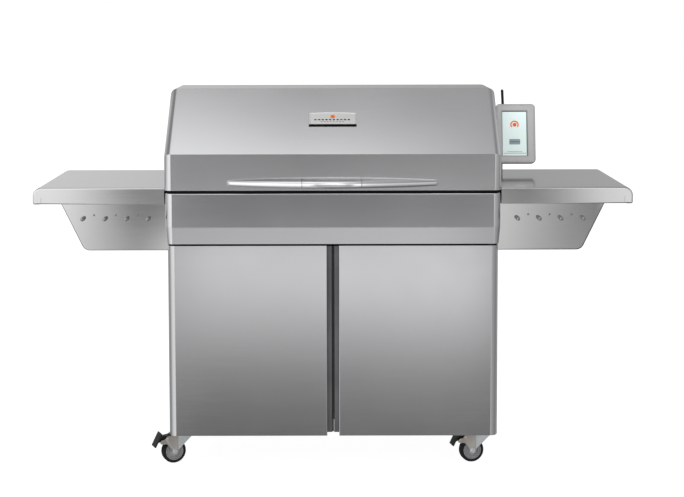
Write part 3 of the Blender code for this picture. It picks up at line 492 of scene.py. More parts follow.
# Radiance by elevation towards the sides and back of the studio
ROUND_LEVELS = ((-90, 0.22), (-40, 0.32), (-31, 0.74), (-22, 0.66), (-15, 0.56), (-10, 0.62),
                (-7, 0.68), (-5.5, 0.75), (0, 0.82), (10, 0.86), (22, 0.98), (34, 0.70),
                (50, 0.48), (66, 0.50), (90, 0.90))
# Factor by azimuth in degrees: 0 in front, + to the right, 180 behind
AZIMUTH_GAIN = ((-180, 0.60), (-170, 0.82), (-130, 0.68), (-100, 0.66), (-78, 1.15), (-57, 1.65), (-30, 1.85),
                (-11, 1.75), (-9.3, 2.05), (-8.8, 1.60), (-8.3, 1.05), (-7.7, 0.62), (-7.0, 0.42),
                (-6.2, 0.66), (-5.7, 0.95), (0, 1.0), (5.4, 1.20), (6.0, 0.85), (7.0, 0.22), (7.8, 0.22),
                (8.3, 0.60), (8.9, 1.42), (9.5, 1.85), (11, 1.70), (14, 1.1), (25, 0.86),
                (100, 0.48), (125, 0.85), (150, 0.60), (170, 0.52), (174, 0.47), (180, 0.60))
TOP = 3.0


def build_world():
    world = bpy.data.worlds.new("studio")
    bpy.context.scene.world = world
    world.use_nodes = True
    tree = world.node_tree
    tree.nodes.clear()
    link = tree.links.new

    def make(kind):
        return tree.nodes.new("ShaderNode" + kind)

    def maths(operation, a, b=None):
        node = make("Math")
        node.operation = operation
        for socket, value in zip(node.inputs, (a, b)):
            if isinstance(value, (int, float)):
                socket.default_value = value
            elif value is not None:
                link(value, socket)
        return node.outputs[0]

    coords = make("TexCoord")
    split = make("SeparateXYZ")
    link(coords.outputs["Generated"], split.inputs[0])
    across, depth, up = split.outputs
    elevation = maths("ARCSINE", up)
    height = maths("ADD", maths("DIVIDE", elevation, math.pi), 0.5)
    azimuth = maths("ARCTAN2", across, maths("MULTIPLY", depth, -1.0))
    turn = maths("ADD", maths("DIVIDE", azimuth, math.tau), 0.5)
    front = ramp_nodes(tree, height, [((e + 90) / 180, v / TOP) for e, v in FRONT_LEVELS])
    around = ramp_nodes(tree, height, [((e + 90) / 180, v / TOP) for e, v in ROUND_LEVELS])
    gain = ramp_nodes(tree, turn, [((a + 180) / 360, v / TOP) for a, v in AZIMUTH_GAIN])
    facing = ramp_nodes(tree, turn, [(0.0, 0.0), (0.4775, 0.0), (0.4825, 1.0), (0.5172, 1.0),
                                     (0.5215, 0.0), (1.0, 0.0)])
    blend = make("Mix")
    link(facing, blend.inputs["Factor"])
    link(around, blend.inputs["A"])
    link(front, blend.inputs["B"])
    level = maths("MULTIPLY", maths("MULTIPLY", blend.outputs["Result"], gain), TOP * TOP)
    # Overhead: brighter towards the front, most of all there on the left
    near = maths("DIVIDE", maths("SUBTRACT", 0.199, depth), 0.043)
    near = maths("MINIMUM", maths("MAXIMUM", near, 0.0), 1.15)
    left = maths("MINIMUM", maths("MAXIMUM", maths("SUBTRACT", -0.02, across), 0.0), 0.08)
    flank = maths("MULTIPLY", maths("SQRT", near), maths("MULTIPLY", left, 9.5))
    middle = maths("MAXIMUM", maths("SUBTRACT", 2.3, maths("MULTIPLY", maths("ABSOLUTE", across), 17.0)), 0.0)
    brow = maths("MULTIPLY", maths("MAXIMUM", maths("SUBTRACT", near, 0.68), 0.0), middle)
    zenith = maths("ADD", maths("ADD", 0.48, flank), brow)
    overhead = ramp_nodes(tree, height, [(0.0, 0.0), (0.87, 0.0), (0.91, 1.0), (1.0, 1.0)])
    merge = make("Mix")
    link(overhead, merge.inputs["Factor"])
    link(level, merge.inputs["A"])
    link(zenith, merge.inputs["B"])
    room = make("Background")
    room.inputs["Color"].default_value = (0.992, 0.994, 1.0, 1.0)
    link(merge.outputs["Result"], room.inputs["Strength"])
    white = make("Background")
    white.inputs["Color"].default_value = (1.0, 1.0, 1.0, 1.0)
    path = make("LightPath")
    mix = make("MixShader")
    link(path.outputs["Is Camera Ray"], mix.inputs[0])
    link(room.outputs[0], mix.inputs[1])
    link(white.outputs[0], mix.inputs[2])
    out = make("OutputWorld")
    link(mix.outputs[0], out.inputs["Surface"])


def build_floor():
    """A near-white floor that fades into the background."""
    shape = bmesh.new()
    bmesh.ops.create_circle(shape, cap_ends=True, segments=64, radius=30.0)
    mesh = bpy.data.meshes.new("studio_floor")
    shape.to_mesh(mesh)
    shape.free()
    floor = bpy.data.objects.new("studio_floor", mesh)
    bpy.context.collection.objects.link(floor)
    floor.location.z = -0.0004
    look = Look("studio_white", (0.22, 0.22, 0.22), 0.9)
    look.set("Emission Color", (1.0, 1.0, 1.0, 1.0))
    look.set("Emission Strength", 0.93)
    mesh.materials.append(look.material)
    floor.visible_glossy = False


def area_light(name, spot, aim, size, power):
    data = bpy.data.lights.new(name, "AREA")
    data.shape = "RECTANGLE"
    data.size, data.size_y = size
    data.energy = power
    lamp = bpy.data.objects.new(name, data)
    bpy.context.collection.objects.link(lamp)
    lamp.location = spot
    lamp.rotation_euler = (Vector(aim) - Vector(spot)).to_track_quat("-Z", "Y").to_euler()
    lamp.visible_glossy = False
    lamp.visible_camera = False


def build_camera():
    data = bpy.data.cameras.new("front")
    data.sensor_width = 36.0
    data.lens = 84.2
    data.shift_x = 0.0135
    data.shift_y = -0.1385
    camera = bpy.data.objects.new("front", data)
    bpy.context.collection.objects.link(camera)
    camera.location = (0.0, -5.443, 1.497)
    aim = Matrix.Rotation(math.radians(90.0 - 5.2), 3, "X") @ Matrix.Rotation(math.radians(-0.113), 3, "Z")
    camera.rotation_euler = aim.to_euler()
    bpy.context.scene.camera = camera


build_world()
build_floor()
area_light("soft_top", (-1.4, -1.6, 3.2), (0.0, 0.0, 0.7), (2.4, 1.6), 40.0)
area_light("soft_back", (1.2, 2.6, 2.6), (0.0, 0.2, 0.6), (2.2, 1.6), 30.0)
build_camera()
bpy.context.scene.view_settings.view_transform = "Standard"

STEEL_X = brushed_steel("stainless_across", "x")
STEEL_Z = brushed_steel("stainless_upright", "z", seed=9.0)
STEEL_HOOD = brushed_steel("stainless_hood", "x", (0.605, 0.605, 0.612), 0.13, seed=13.0)
STEEL_DOOR = brushed_steel("stainless_door", "x", (0.60, 0.60, 0.606), 0.11, seed=21.0)
STEEL_BODY = brushed_steel("stainless_body", "x", (0.592, 0.592, 0.602), 0.13, seed=30.0)
STEEL_SHELF = brushed_steel("stainless_shelf", "x", (0.605, 0.603, 0.600), 0.09, seed=37.0)
STEEL_BRACKET = brushed_steel("stainless_bracket", "x", (0.595, 0.590, 0.584), 0.07, seed=52.0)
POLISHED = polished_steel("polished_steel")
PEG_STEEL = polished_steel("peg_steel", (0.30, 0.295, 0.29), 0.24)
ZINC = zinc_plate("zinc_plate", (0.66, 0.70, 0.71))
# A darker, browner copy of the zinc plate for the near fork leg: painted shade. The zinc above is set light
# and bluish as the lit far leg.
ZINC_SHADED = zinc_plate("zinc_plate_shaded", (0.45, 0.40, 0.355))
DARK_STEEL = painted_steel("dark_painted_steel", (0.028, 0.028, 0.030))
DARK_GALV = painted_steel("dark_sheet", (0.16, 0.16, 0.165), 0.40, 0.85)
HOT_STEEL = heat_tinted("heat_tinted_steel")
IRON = cast_iron("cast_iron")
PLASTIC = moulded_plastic("black_plastic", (0.010, 0.010, 0.011))
RUBBER = moulded_plastic("black_rubber", (0.014, 0.014, 0.014), 0.68, 0.00003)
TYRE = tyre_rubber("tyre_rubber")
GREY_PLASTIC = moulded_plastic("grey_plastic", (0.21, 0.212, 0.215), 0.50)
BEZEL = silver_paint("silver_bezel", (0.53, 0.52, 0.525))
SEAL = moulded_plastic("black_seal", (0.004, 0.004, 0.004), 0.85, 0.00003, 0.1)
GALVANISED = painted_steel("galvanised_sheet", (0.36, 0.37, 0.38), 0.38, 1.0, 0.00001)

CAD_LOOKS = {
    "hood_shell": STEEL_HOOD, "hood_handle": POLISHED, "hood_badge": POLISHED, "hood_gasket": SEAL,
    "body_shell": STEEL_BODY, "firebox_liner": HOT_STEEL, "drip_tray": HOT_STEEL, "heat_deflector": HOT_STEEL,
    "fire_pot": IRON, "igniter_rod": HOT_STEEL, "temperature_probe": STEEL_X, "grease_bucket": GALVANISED,
    "auger_tube": GALVANISED, "auger_screw": HOT_STEEL, "auger_motor": DARK_STEEL,
    "blower_housing": DARK_STEEL, "fan_wheel": PLASTIC, "hopper_bin": GALVANISED, "hopper_lid": STEEL_Z,
    "rear_cover": STEEL_Z, "power_inlet": PLASTIC, "power_rocker": PLASTIC, "cabinet_back": STEEL_Z,
    "cabinet_floor": STEEL_X, "controller_arm": DARK_GALV, "controller_housing": BEZEL,
    "touch_screen": PLASTIC, "antenna": RUBBER,
}
# Nodes of the left and right side, and of the casters; the word takes the place of %s
SIDE_LOOKS = {
    "hood_hinge_%s": STEEL_X, "cooking_grate_%s": IRON, "cabinet_side_%s": STEEL_Z, "base_rail_%s": DARK_GALV,
    "door_%s_pan": DARK_GALV, "door_%s_skin": STEEL_DOOR, "shelf_top_%s": STEEL_SHELF,
    "shelf_bracket_%s": STEEL_X, "tool_hooks_%s": POLISHED, "brake_pedal_front_%s": ZINC,
}
CASTER_LOOKS = {"caster_fork_%s": ZINC, "wheel_hub_%s": GREY_PLASTIC, "wheel_tyre_%s": TYRE}
for word, _ in SIDES:
    CAD_LOOKS.update({name % word: look for name, look in SIDE_LOOKS.items()})
for word in CASTER_WORDS:
    CAD_LOOKS.update({name % word: look for name, look in CASTER_LOOKS.items()})
for name, look in CAD_LOOKS.items():
    dress(name, look)


# ---- Body and doors --------------------------------------------------------
def build_body():
    """Body band: the front leans back a little over a tapered foot, above a folded lip."""
    low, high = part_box("body_shell")
    crease = low.z + 0.0552
    lean = 0.0024
    radius = 0.023
    foot = 0.009
    foot_side = 0.005
    bend = 0.0012
    back = 0.259
    levels = [(low.z, foot_side, foot), (low.z + 0.0008, foot_side - 0.0004, foot - 0.0004),
              (crease - bend, 0.0001, bend / 6), (crease - bend / 2, 0.0, 0.0), (crease + bend, 0.0, 0.0),
              (crease + 0.04, 0.0, lean * 0.36), (high.z - 0.0050, 0.0, lean),
              (high.z - 0.0030, 0.0005, lean + 0.0005), (high.z - 0.0014, 0.0016, lean + 0.0016),
              (high.z - 0.0004, 0.0032, lean + 0.0032), (high.z, 0.0050, lean + 0.0050),
              (high.z, 0.016, 0.016)]
    inner_levels = [(high.z - SHEET, 0.016, 0.016), (high.z - SHEET, SHEET + 0.0008, lean + SHEET),
                    (crease, SHEET, SHEET), (low.z + SHEET, foot_side + SHEET, foot + SHEET)]

    def ring(z, side_in, front_in, wall):
        back_in = wall if side_in < 0.008 else side_in
        corner = max(radius - side_in, 0.006)
        outline = round_rect(low.x + side_in, high.x - side_in, low.y + front_in,
                             back - back_in, corner, 10)
        return section_at(outline, "Z", z)

    shape = loft([ring(*level, 0.0) for level in levels]
                 + [ring(*level, SHEET) for level in inner_levels])
    tool = turned([(0.068, low.z - 0.01), (0.068, low.z + 0.01)], 0.0, -0.030, "Z", 40)
    piece("body_band", cut_away(shape, tool), STEEL_BODY, "cart", ["body_shell"],
          0.0, 25.0)


def build_door(word, side):
    """Door skin wrapped round its outer edge, with a short return at its inner edge."""
    low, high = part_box("door_%s_skin" % word)
    front, back = low.y, high.y
    outer = max(abs(low.x), abs(high.x))
    inner = min(abs(low.x), abs(high.x))
    bend = 0.0022
    line = [(inner, front + 0.020), (inner, front), (outer, front), (outer, back)]
    line = fillet(line, (bend, 0.0223), 10)
    shape = prism(mirror_x(strip(line, THIN), side), "Z", low.z, high.z)
    piece("door_%s_face" % word, shape, STEEL_DOOR, "door_" + word, ["door_%s_skin" % word],
          0.0005, 25.0)


# ---- Shelves, brackets and hooks -------------------------------------------
def build_shelf(word, side):
    """Shelf pressed from one sheet: rounded outer end, soft top edges and a turned-under hem."""
    low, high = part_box("shelf_top_" + word)
    top, bottom = high.z, low.z
    inner = min(abs(low.x), abs(high.x))
    outer = max(abs(low.x), abs(high.x))
    front, back = low.y, high.y
    end_r, nose, foot, hem = 0.027, 0.0055, 0.006, 0.020
    outline = fillet([(inner, top), (outer, top), (outer, bottom), (outer - hem, bottom)], (end_r, foot), 10)

    # The front and back edges roll over by a small radius
    nosing = [(nose * (1 - math.sin(a)), front + nose * (1 - math.cos(a)))
              for a in (math.pi / 2 * i / 5 for i in range(6))]
    stations = nosing + [(inset, back - (y - front)) for inset, y in reversed(nosing)]
    loops = []
    for inset, y in stations:
        closed = offset_line(outline, -inset) + [(inner, bottom)]
        closed[0] = (inner, top - inset)
        loops.append(section_at(mirror_x(closed, side), "Y", y))
    hollow = offset_line(outline, -SHEET) + [(outer - hem, bottom - 0.01), (inner - 0.01, bottom - 0.01)]
    hollow[0] = (inner - 0.01, top - SHEET)
    cavity = prism(mirror_x(hollow, side), "Y", front + SHEET, back - SHEET)
    shape = cut_away(loft(loops), cavity)
    piece("shelf_%s" % word, shape, STEEL_SHELF, "cart", ["shelf_top_" + word],
          0.0, 25.0)
    # Folded corner: the apron's end is a separate flap behind a hairline joint
    seam_x = outer - end_r
    seam = block(*sorted((side * (seam_x - 0.0004), side * (seam_x + 0.0004))),
                 front - 0.0002, front + 0.0004, bottom + 0.001, bottom + 0.024)
    piece("shelf_seam_%s" % word, seam, DARK_GALV, "cart")


BRACKET_IN = 0.5347
BRACKET_SPAN = 0.34
BRACKET_COLUMNS = 26


def bowed(x):
    """How far the right-hand bracket's front sheet is dished at a place across it."""
    share = min(max((x - BRACKET_IN) / BRACKET_SPAN, 0.0), 1.0)
    return BRACKET_SPAN * share * (0.030 - 0.024 * share)


def build_bracket(word, side):
    """Sloping open box under the shelf; the right one's front sheet is dished by a few millimetres."""
    low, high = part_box("shelf_bracket_" + word)
    front, back = low.y, high.y
    top, bottom = high.z, low.z
    foot, tip, neck = 0.807, 0.881, 0.5417
    slope = (tip - foot) / (top - bottom)
    root = [(BRACKET_IN, 0.7348), (BRACKET_IN, bottom), (foot, bottom)]
    wall = [(neck, 0.794), (0.5367, 0.7388)]
    full = fillet(root + [(tip, top), (neck, top)], (0.0005, 0.027, 0.0005), 8) + wall
    sharp = offset_line(root + [(tip + 0.01 * slope, top + 0.01), (neck, top + 0.01)] + wall,
                        SHEET, closed=True)
    tall = fillet(sharp[1:4], (0.025,), 8) + sharp[4:] + sharp[:1]
    shape = cut_away(prism(mirror_x(full, side), "Y", front, back),
                     prism(mirror_x(tall, side), "Y", front + SHEET, back - SHEET))
    if side > 0:
        for i in range(1, BRACKET_COLUMNS):
            x = BRACKET_IN + BRACKET_SPAN * i / BRACKET_COLUMNS
            bmesh.ops.bisect_plane(shape, geom=shape.verts[:] + shape.edges[:] + shape.faces[:],
                                   plane_co=(side * x, 0, 0), plane_no=(1, 0, 0))
        for vert in shape.verts:
            if vert.co.y < front + SHEET + 0.0005:
                vert.co.y += bowed(vert.co.x)
    piece("bracket_%s" % word, shape, STEEL_BRACKET, "cart", ["shelf_bracket_" + word],
          0.0007, 25.0)
    # Near-black strip along the bracket's sloping end and foot: painted shade on the sheet's edge
    edge = fillet([(BRACKET_IN, bottom), (foot, bottom), (tip, top)], (0.027,), 8)
    rim = prism(mirror_x(edge + offset_line(edge, 0.0016)[::-1], side), "Y", front - 0.0003, front + 0.0004)
    piece("bracket_rim_" + word, rim, DARK_STEEL, "cart")
    # Folded web closes the gap between the body and the shelf
    web_x = sorted((side * 0.5412, side * 0.5452))
    web = block(*web_x, front + 0.004, front + 0.30, top - 0.020, top + 0.022)
    piece("shelf_web_" + word, web, GALVANISED, "cart")


HOOK_X = (0.599, 0.669, 0.739, 0.811)
HOOK_Z = 0.818


def build_hooks(word, side):
    """Turned pegs with mushroom heads and a small washer against the bracket."""
    low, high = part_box("tool_hooks_" + word)
    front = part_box("shelf_bracket_" + word)[0].y
    tip = low.y
    profile = [(0.0072, front - 0.0001), (0.0072, front - 0.0011), (0.0066, front - 0.0015),
               (0.0038, front - 0.0016), (0.0033, front - 0.006), (0.0033, tip + 0.0095),
               (0.0040, tip + 0.0075), (0.0056, tip + 0.0060), (0.0060, tip + 0.0045),
               (0.0059, tip + 0.0025), (0.0050, tip + 0.0010), (0.0032, tip + 0.0002), (0.0012, tip)]
    pegs = [turned([(r, y + (bowed(side * x) if y > front - 0.002 else 0.0)) for r, y in profile],
                   side * x, HOOK_Z, "Y", 28) for x in HOOK_X]
    stems = [turned([(0.0035, front), (0.0035, high.y - 0.002)], side * x, HOOK_Z, "Y", 16)
             for x in HOOK_X]
    x0, x1 = sorted((side * (HOOK_X[0] - 0.014), side * (HOOK_X[-1] + 0.014)))
    sunk = 0.0032 if side > 0 else 0.0
    bar = block(x0, x1, high.y - 0.002 + sunk, high.y + sunk, HOOK_Z - 0.010, HOOK_Z + 0.010)
    piece("pegs_" + word, gather(pegs + stems + [bar]), PEG_STEEL, "cart", ["tool_hooks_" + word],
          0.0, 30.0)
    # Small blind dimples pressed between the pegs, drawn as dark discs: painted shade of the hollows
    rings = []
    for x in ((a + b) / 2 for a, b in zip(HOOK_X, HOOK_X[1:])):
        y = front + bowed(side * x)
        rings.append(turned([(0.0034, y - 0.0003), (0.0028, y - 0.0004), (0.0012, y - 0.00005)],
                            side * x, HOOK_Z + 0.011, "Y", 20))
    piece("dimple_shade_" + word, gather(rings), DARK_GALV, "cart")


# ---- Handle and badge -------------------------------------------------------
def build_handle():
    """Bow-shaped round bar, thicker in the middle, in three lengths with dark slits between."""
    low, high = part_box("hood_handle")
    half = high.x
    root_y = high.y - 0.0085
    front_y = low.y
    centre_z = (low.z + high.z) / 2
    thin, thick = 0.0085, 0.0120
    bow = root_y - thick - front_y
    stations, around = 96, 28

    def bar(start, end, gap=0.0):
        sections = []
        for i in range(stations + 1):
            along = start + (end - start) * (0.5 - 0.5 * math.cos(math.pi * i / stations))
            swell = 1.0 - along ** 2
            radius = thin + (thick - thin) * max(swell, 0.0) ** 0.7 - gap
            tip = min((1.0 - abs(along)) * half / thin, 1.0)
            radius *= max(1.0 - (1.0 - tip) ** 2, 0.01) ** 0.5
            centre = Vector((along * half, root_y - bow * swell, centre_z))
            across = Vector((-2.0 * bow * along / half, -1.0, 0.0)).normalized()
            sections.append([centre + across * radius * math.cos(math.tau * k / around)
                             + Vector((0, 0, radius * math.sin(math.tau * k / around)))
                             for k in range(around)])
        return loft(sections)

    joints = (-0.2917, 0.2738)
    slit = 0.0009 / half
    lengths = [bar(-1.0, joints[0] - slit), bar(joints[0] + slit, joints[1] - slit),
               bar(joints[1] + slit, 1.0)]
    piece("handle_bar", gather(lengths), POLISHED, "hood", ["hood_handle"],
          0.0003, 40.0)
    piece("handle_core", bar(-0.30, 0.28, 0.0011), DARK_GALV, "hood")


def build_badge():
    """Blank name plate: raised rim, sunk satin field, an enamel disc and two rows of dashes."""
    # The hood's slope starts at its crease and runs this far back and up
    run, rise_up = 0.255, 0.1985
    share = 0.51
    place = (Matrix.Translation((0.0, -0.341 + share * run, 1.0315 + share * rise_up))
             @ Matrix.Rotation(-math.atan2(run, rise_up), 4, "X"))
    half_x, half_z, rise = 0.078, 0.028, 0.004
    outer = [(-half_x, -half_z), (half_x, -half_z), (half_x, half_z)]
    outer += [(half_x * (1 - i / 8), half_z + rise * (1 - (1 - i / 8) ** 2)) for i in range(1, 16)]
    outer.append((-half_x, half_z))
    field = offset_line(outer, 0.0045, closed=True)
    rim = offset_line(outer, 0.0030, closed=True)
    shape = loft([section_at(outer, "Y", -0.0003), section_at(outer, "Y", -0.0050),
                  section_at(offset_line(outer, 0.0008, closed=True), "Y", -0.0060),
                  section_at(rim, "Y", -0.0060), section_at(field, "Y", -0.0048)])
    piece("badge_plate", shape, BADGE_STEEL, "hood", ["hood_badge"], 0.0, 20.0, place)
    # Near-black strip under the plate's lower edge: painted shadow of the plate's edge.
    lip = block(-half_x - 0.0002, half_x + 0.0002, -0.0056, -0.0002,
                -half_z - 0.0006, -half_z + 0.0014)
    piece("badge_shadow_lip", lip, SEAL, "hood", edge=0.0004, move=place)
    mark = turned([(0.0078, -0.0047), (0.0078, -0.0054), (0.0070, -0.0058), (0.0036, -0.0058),
                   (0.0030, -0.0050)], 0.0, 0.0105, "Y", 36)
    piece("badge_mark", mark, ORANGE, "hood", move=place)
    dashes = [block(x - 0.0034, x + 0.0034, -0.0055, -0.0046, -0.0072, -0.0022)
              for x in (-0.0562, -0.0440, -0.0326, -0.0204, -0.0082, 0.0040, 0.0162, 0.0284, 0.0406, 0.0528)]
    dashes += [block(x - 0.0022, x + 0.0022, -0.0053, -0.0046, -0.0150, -0.0132)
               for x in (-0.0360, -0.0260, -0.0160, -0.0060, 0.0040, 0.0140, 0.0240, 0.0340)]
    piece("badge_rules", gather(dashes), DARK_STEEL, "hood", edge=0.0002, move=place)


def build_rail_plugs():
    """Black plastic plugs in the open rear ends of the base rails."""
    for word, _ in SIDES:
        low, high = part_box("base_rail_" + word)
        cap = block(low.x + 0.003, high.x - 0.003, high.y - 0.0045, high.y - 0.0005,
                    low.z + 0.004, high.z - 0.003)
        piece("rail_plug_" + word, cap, PLASTIC, "cart", edge=0.0010)


BADGE_STEEL = brushed_steel("badge_satin", "x", (0.70, 0.695, 0.685), 0.24, seed=44.0)
ORANGE = moulded_plastic("orange_enamel", (0.62, 0.12, 0.015), 0.30, 0.000004)

build_body()
for word, side in SIDES:
    build_door(word, side)
    build_shelf(word, side)
    build_bracket(word, side)
    build_hooks(word, side)
build_handle()
build_badge()
build_rail_plugs()


# ---- Casters ---------------------------------------------------------------
WHEEL_R = 0.040
WHEEL_HALF = 0.014
TRAIL = 0.038
LEG_IN = WHEEL_HALF + 0.0025
LEG_OUT = LEG_IN + 0.0025
BRIDGE_Z = 0.0985
CASTER_TOP = 0.1070
PEDAL_PIVOT = (-0.062, 0.086)
CASTERS = {
    "front_left": (-0.494, -0.240, 22.0), "front_right": (0.494, -0.240, 12.0),
    "rear_left": (-0.494, 0.215, -9.0), "rear_right": (0.494, 0.215, 5.0),
}


def build_caster(word):
    x, y, yaw = CASTERS[word]
    turn = Matrix.Translation((x, y, 0.0)) @ Matrix.Rotation(math.radians(yaw), 4, "Z")
    body = "caster_" + word
    horn = [(-0.0440, BRIDGE_Z), (-0.0530, 0.0935), (-0.0660, 0.0915), (-0.0715, 0.0840), (-0.0840, 0.0810),
            (-0.0900, 0.0705), (-0.0790, 0.0672), (-0.0668, 0.0682), (-0.0590, 0.0600), (-0.0500, 0.0480),
            (-0.0475, 0.0400), (-0.0440, 0.0325), (-0.0380, 0.0300), (-0.0310, 0.0325)]
    radii = (0.002, 0.004, 0.003, 0.004, 0.004, 0.003, 0.006, 0.008, 0.02, 0.01, 0.008, 0.01)
    near = fillet(horn + [(-0.0268, 0.0410), (-0.0268, BRIDGE_Z)], radii + (0.01, 0.01), 4)
    far = fillet(horn + [(0.0290, 0.0950), (0.0290, BRIDGE_Z)], radii + (0.008, 0.001), 4)
    near_leg = prism(near, "Y", -LEG_OUT, -LEG_IN)
    far_leg = prism(far, "Y", LEG_IN, LEG_OUT)
    web = prism([(-0.0262, BRIDGE_Z), (-0.0262, 0.0440), (0.0290, 0.0950), (0.0290, BRIDGE_Z)], "Y",
                -LEG_IN - 0.0002, -LEG_IN + 0.0010)
    bridge = block(-0.0430, 0.0280, -LEG_OUT + 0.0003, LEG_OUT - 0.0003, BRIDGE_Z - 0.003, BRIDGE_Z)
    head = turned([(0.022, BRIDGE_Z - 0.001), (0.026, BRIDGE_Z), (0.0285, 0.1003), (0.0290, 0.1016),
                   (0.0285, 0.1028), (0.0268, 0.1034), (0.0268, 0.1042), (0.0285, 0.1048), (0.0285, 0.1062),
                   (0.0270, CASTER_TOP)], 0.0, 0.0, "Z", 64)
    # The near leg takes the darker copy of the zinc: painted shade.
    piece("fork_near_" + word, near_leg, ZINC_SHADED, body, ["caster_fork_" + word],
          0.0006, 30.0, turn)
    piece("fork_far_" + word, gather([far_leg, web, bridge, head]), ZINC, body,
          edge=0.0005, sharp=30.0, move=turn)
    hexagon = circle(-TRAIL, WHEEL_R, 0.0066, 6)
    washer = [(0.0088, LEG_OUT), (0.0088, LEG_OUT + 0.0007), (0.0080, LEG_OUT + 0.0011)]
    bolt = [prism(hexagon, "Y", -LEG_OUT - 0.0035, -LEG_OUT - 0.0008),
            prism(hexagon, "Y", LEG_OUT + 0.0008, LEG_OUT + 0.0035),
            turned([(r, -a) for r, a in washer], -TRAIL, WHEEL_R, "Y", 32),
            turned(washer, -TRAIL, WHEEL_R, "Y", 32),
            turned([(0.0040, -LEG_OUT - 0.0010), (0.0040, LEG_OUT + 0.0010)], -TRAIL, WHEEL_R, "Y", 24)]
    for sign in (-1, 1):
        rivet = [(0.0030, LEG_OUT), (0.0029, LEG_OUT + 0.0008), (0.0018, LEG_OUT + 0.0014)]
        bolt.append(turned([(r, sign * y) for r, y in rivet], *PEDAL_PIVOT, "Y", 20))
    bolt.append(turned([(0.0022, -LEG_IN), (0.0022, LEG_IN)], *PEDAL_PIVOT, "Y", 16))
    piece("axle_" + word, gather(bolt), BOLT, body, edge=0.0004, sharp=30.0, move=turn)

    hub_at = turn @ Matrix.Translation((-TRAIL, 0.0, WHEEL_R))
    edge = WHEEL_HALF
    tyre = [(0.0298, -edge), (0.0335, -edge - 0.0004), (0.0352, -edge), (0.0360, -edge + 0.0010),
            (0.0378, -edge + 0.0016), (0.0392, -edge + 0.0034), (0.0399, -edge + 0.0060), (WHEEL_R, -0.0050),
            (WHEEL_R, 0.0050), (0.0399, edge - 0.0060), (0.0392, edge - 0.0034), (0.0378, edge - 0.0016),
            (0.0360, edge - 0.0010), (0.0352, edge), (0.0335, edge + 0.0004), (0.0298, edge)]
    piece("tyre_" + word, turned(tyre, 0.0, 0.0, "Y", 96, capped=False), TYRE, "wheel_" + word,
          ["wheel_tyre_" + word], 0.0, 50.0, hub_at)
    face = WHEEL_HALF - 0.0025
    rings = [(0.0297, face + 0.0012), (0.0285, face + 0.0016), (0.0272, face + 0.0010),
             (0.0268, face - 0.0012), (0.0236, face - 0.0016), (0.0232, face + 0.0002),
             (0.0222, face + 0.0006), (0.0212, face), (0.0208, face - 0.0022), (0.0168, face - 0.0026),
             (0.0164, face - 0.0004), (0.0150, face), (0.0135, face), (0.0120, WHEEL_HALF),
             (0.0095, WHEEL_HALF + 0.0010), (0.0044, WHEEL_HALF + 0.0010)]
    hub = turned([(r, -a) for r, a in rings] + rings[::-1], 0.0, 0.0, "Y", 72, capped=False)
    piece("hub_" + word, hub, GREY_PLASTIC, "wheel_" + word, ["wheel_hub_" + word],
          0.0, 35.0, hub_at)
    if word.startswith("front"):
        build_pedal(word, turn)


def build_pedal(word, turn):
    """Brake pedal: black moulded tread with slanted ribs on a short arm."""
    tread = strip([(-0.1075, 0.0600), (-0.0850, 0.1045)], -0.0046)
    arm = fillet([(-0.0555, 0.0910), (-0.0640, 0.0940), (-0.0880, 0.0930), (-0.0990, 0.0800),
                  (-0.0960, 0.0700), (-0.0700, 0.0790), (-0.0560, 0.0800)], (0.003,) * 5, 4)
    along = Vector((0.0225, 0.0, 0.0445)).normalized()
    outward = Vector((-along.z, 0.0, along.x))
    parts = [prism(tread, "Y", -0.020, 0.020), prism(arm, "Y", -0.010, 0.010)]
    start = Vector((-0.1075, 0.0, 0.0600))
    for i in range(7):
        base = start + along * (0.0035 + i * 0.0066)
        rib = [base + along * a + outward * (b - 0.0001) + Vector((0, -0.0188, 0))
               for a, b in ((0.0, 0.0), (0.0026, 0.0), (0.0026, 0.0013), (0.0, 0.0013))]
        slant = along * 0.0018
        parts.append(loft([rib, [p + Vector((0, 0.0376, 0)) + slant for p in rib]]))
    piece("pedal_tread_" + word, gather(parts), PLASTIC, "pedal_" + word, ["brake_pedal_" + word],
          0.0006, 30.0, turn)


# ---- Controller ------------------------------------------------------------
SCREEN_CENTRE = Vector((0.645, 0.180, 1.056))
LEAN = (Matrix.Translation(SCREEN_CENTRE) @ Matrix.Rotation(-math.radians(11.0), 4, "X"))


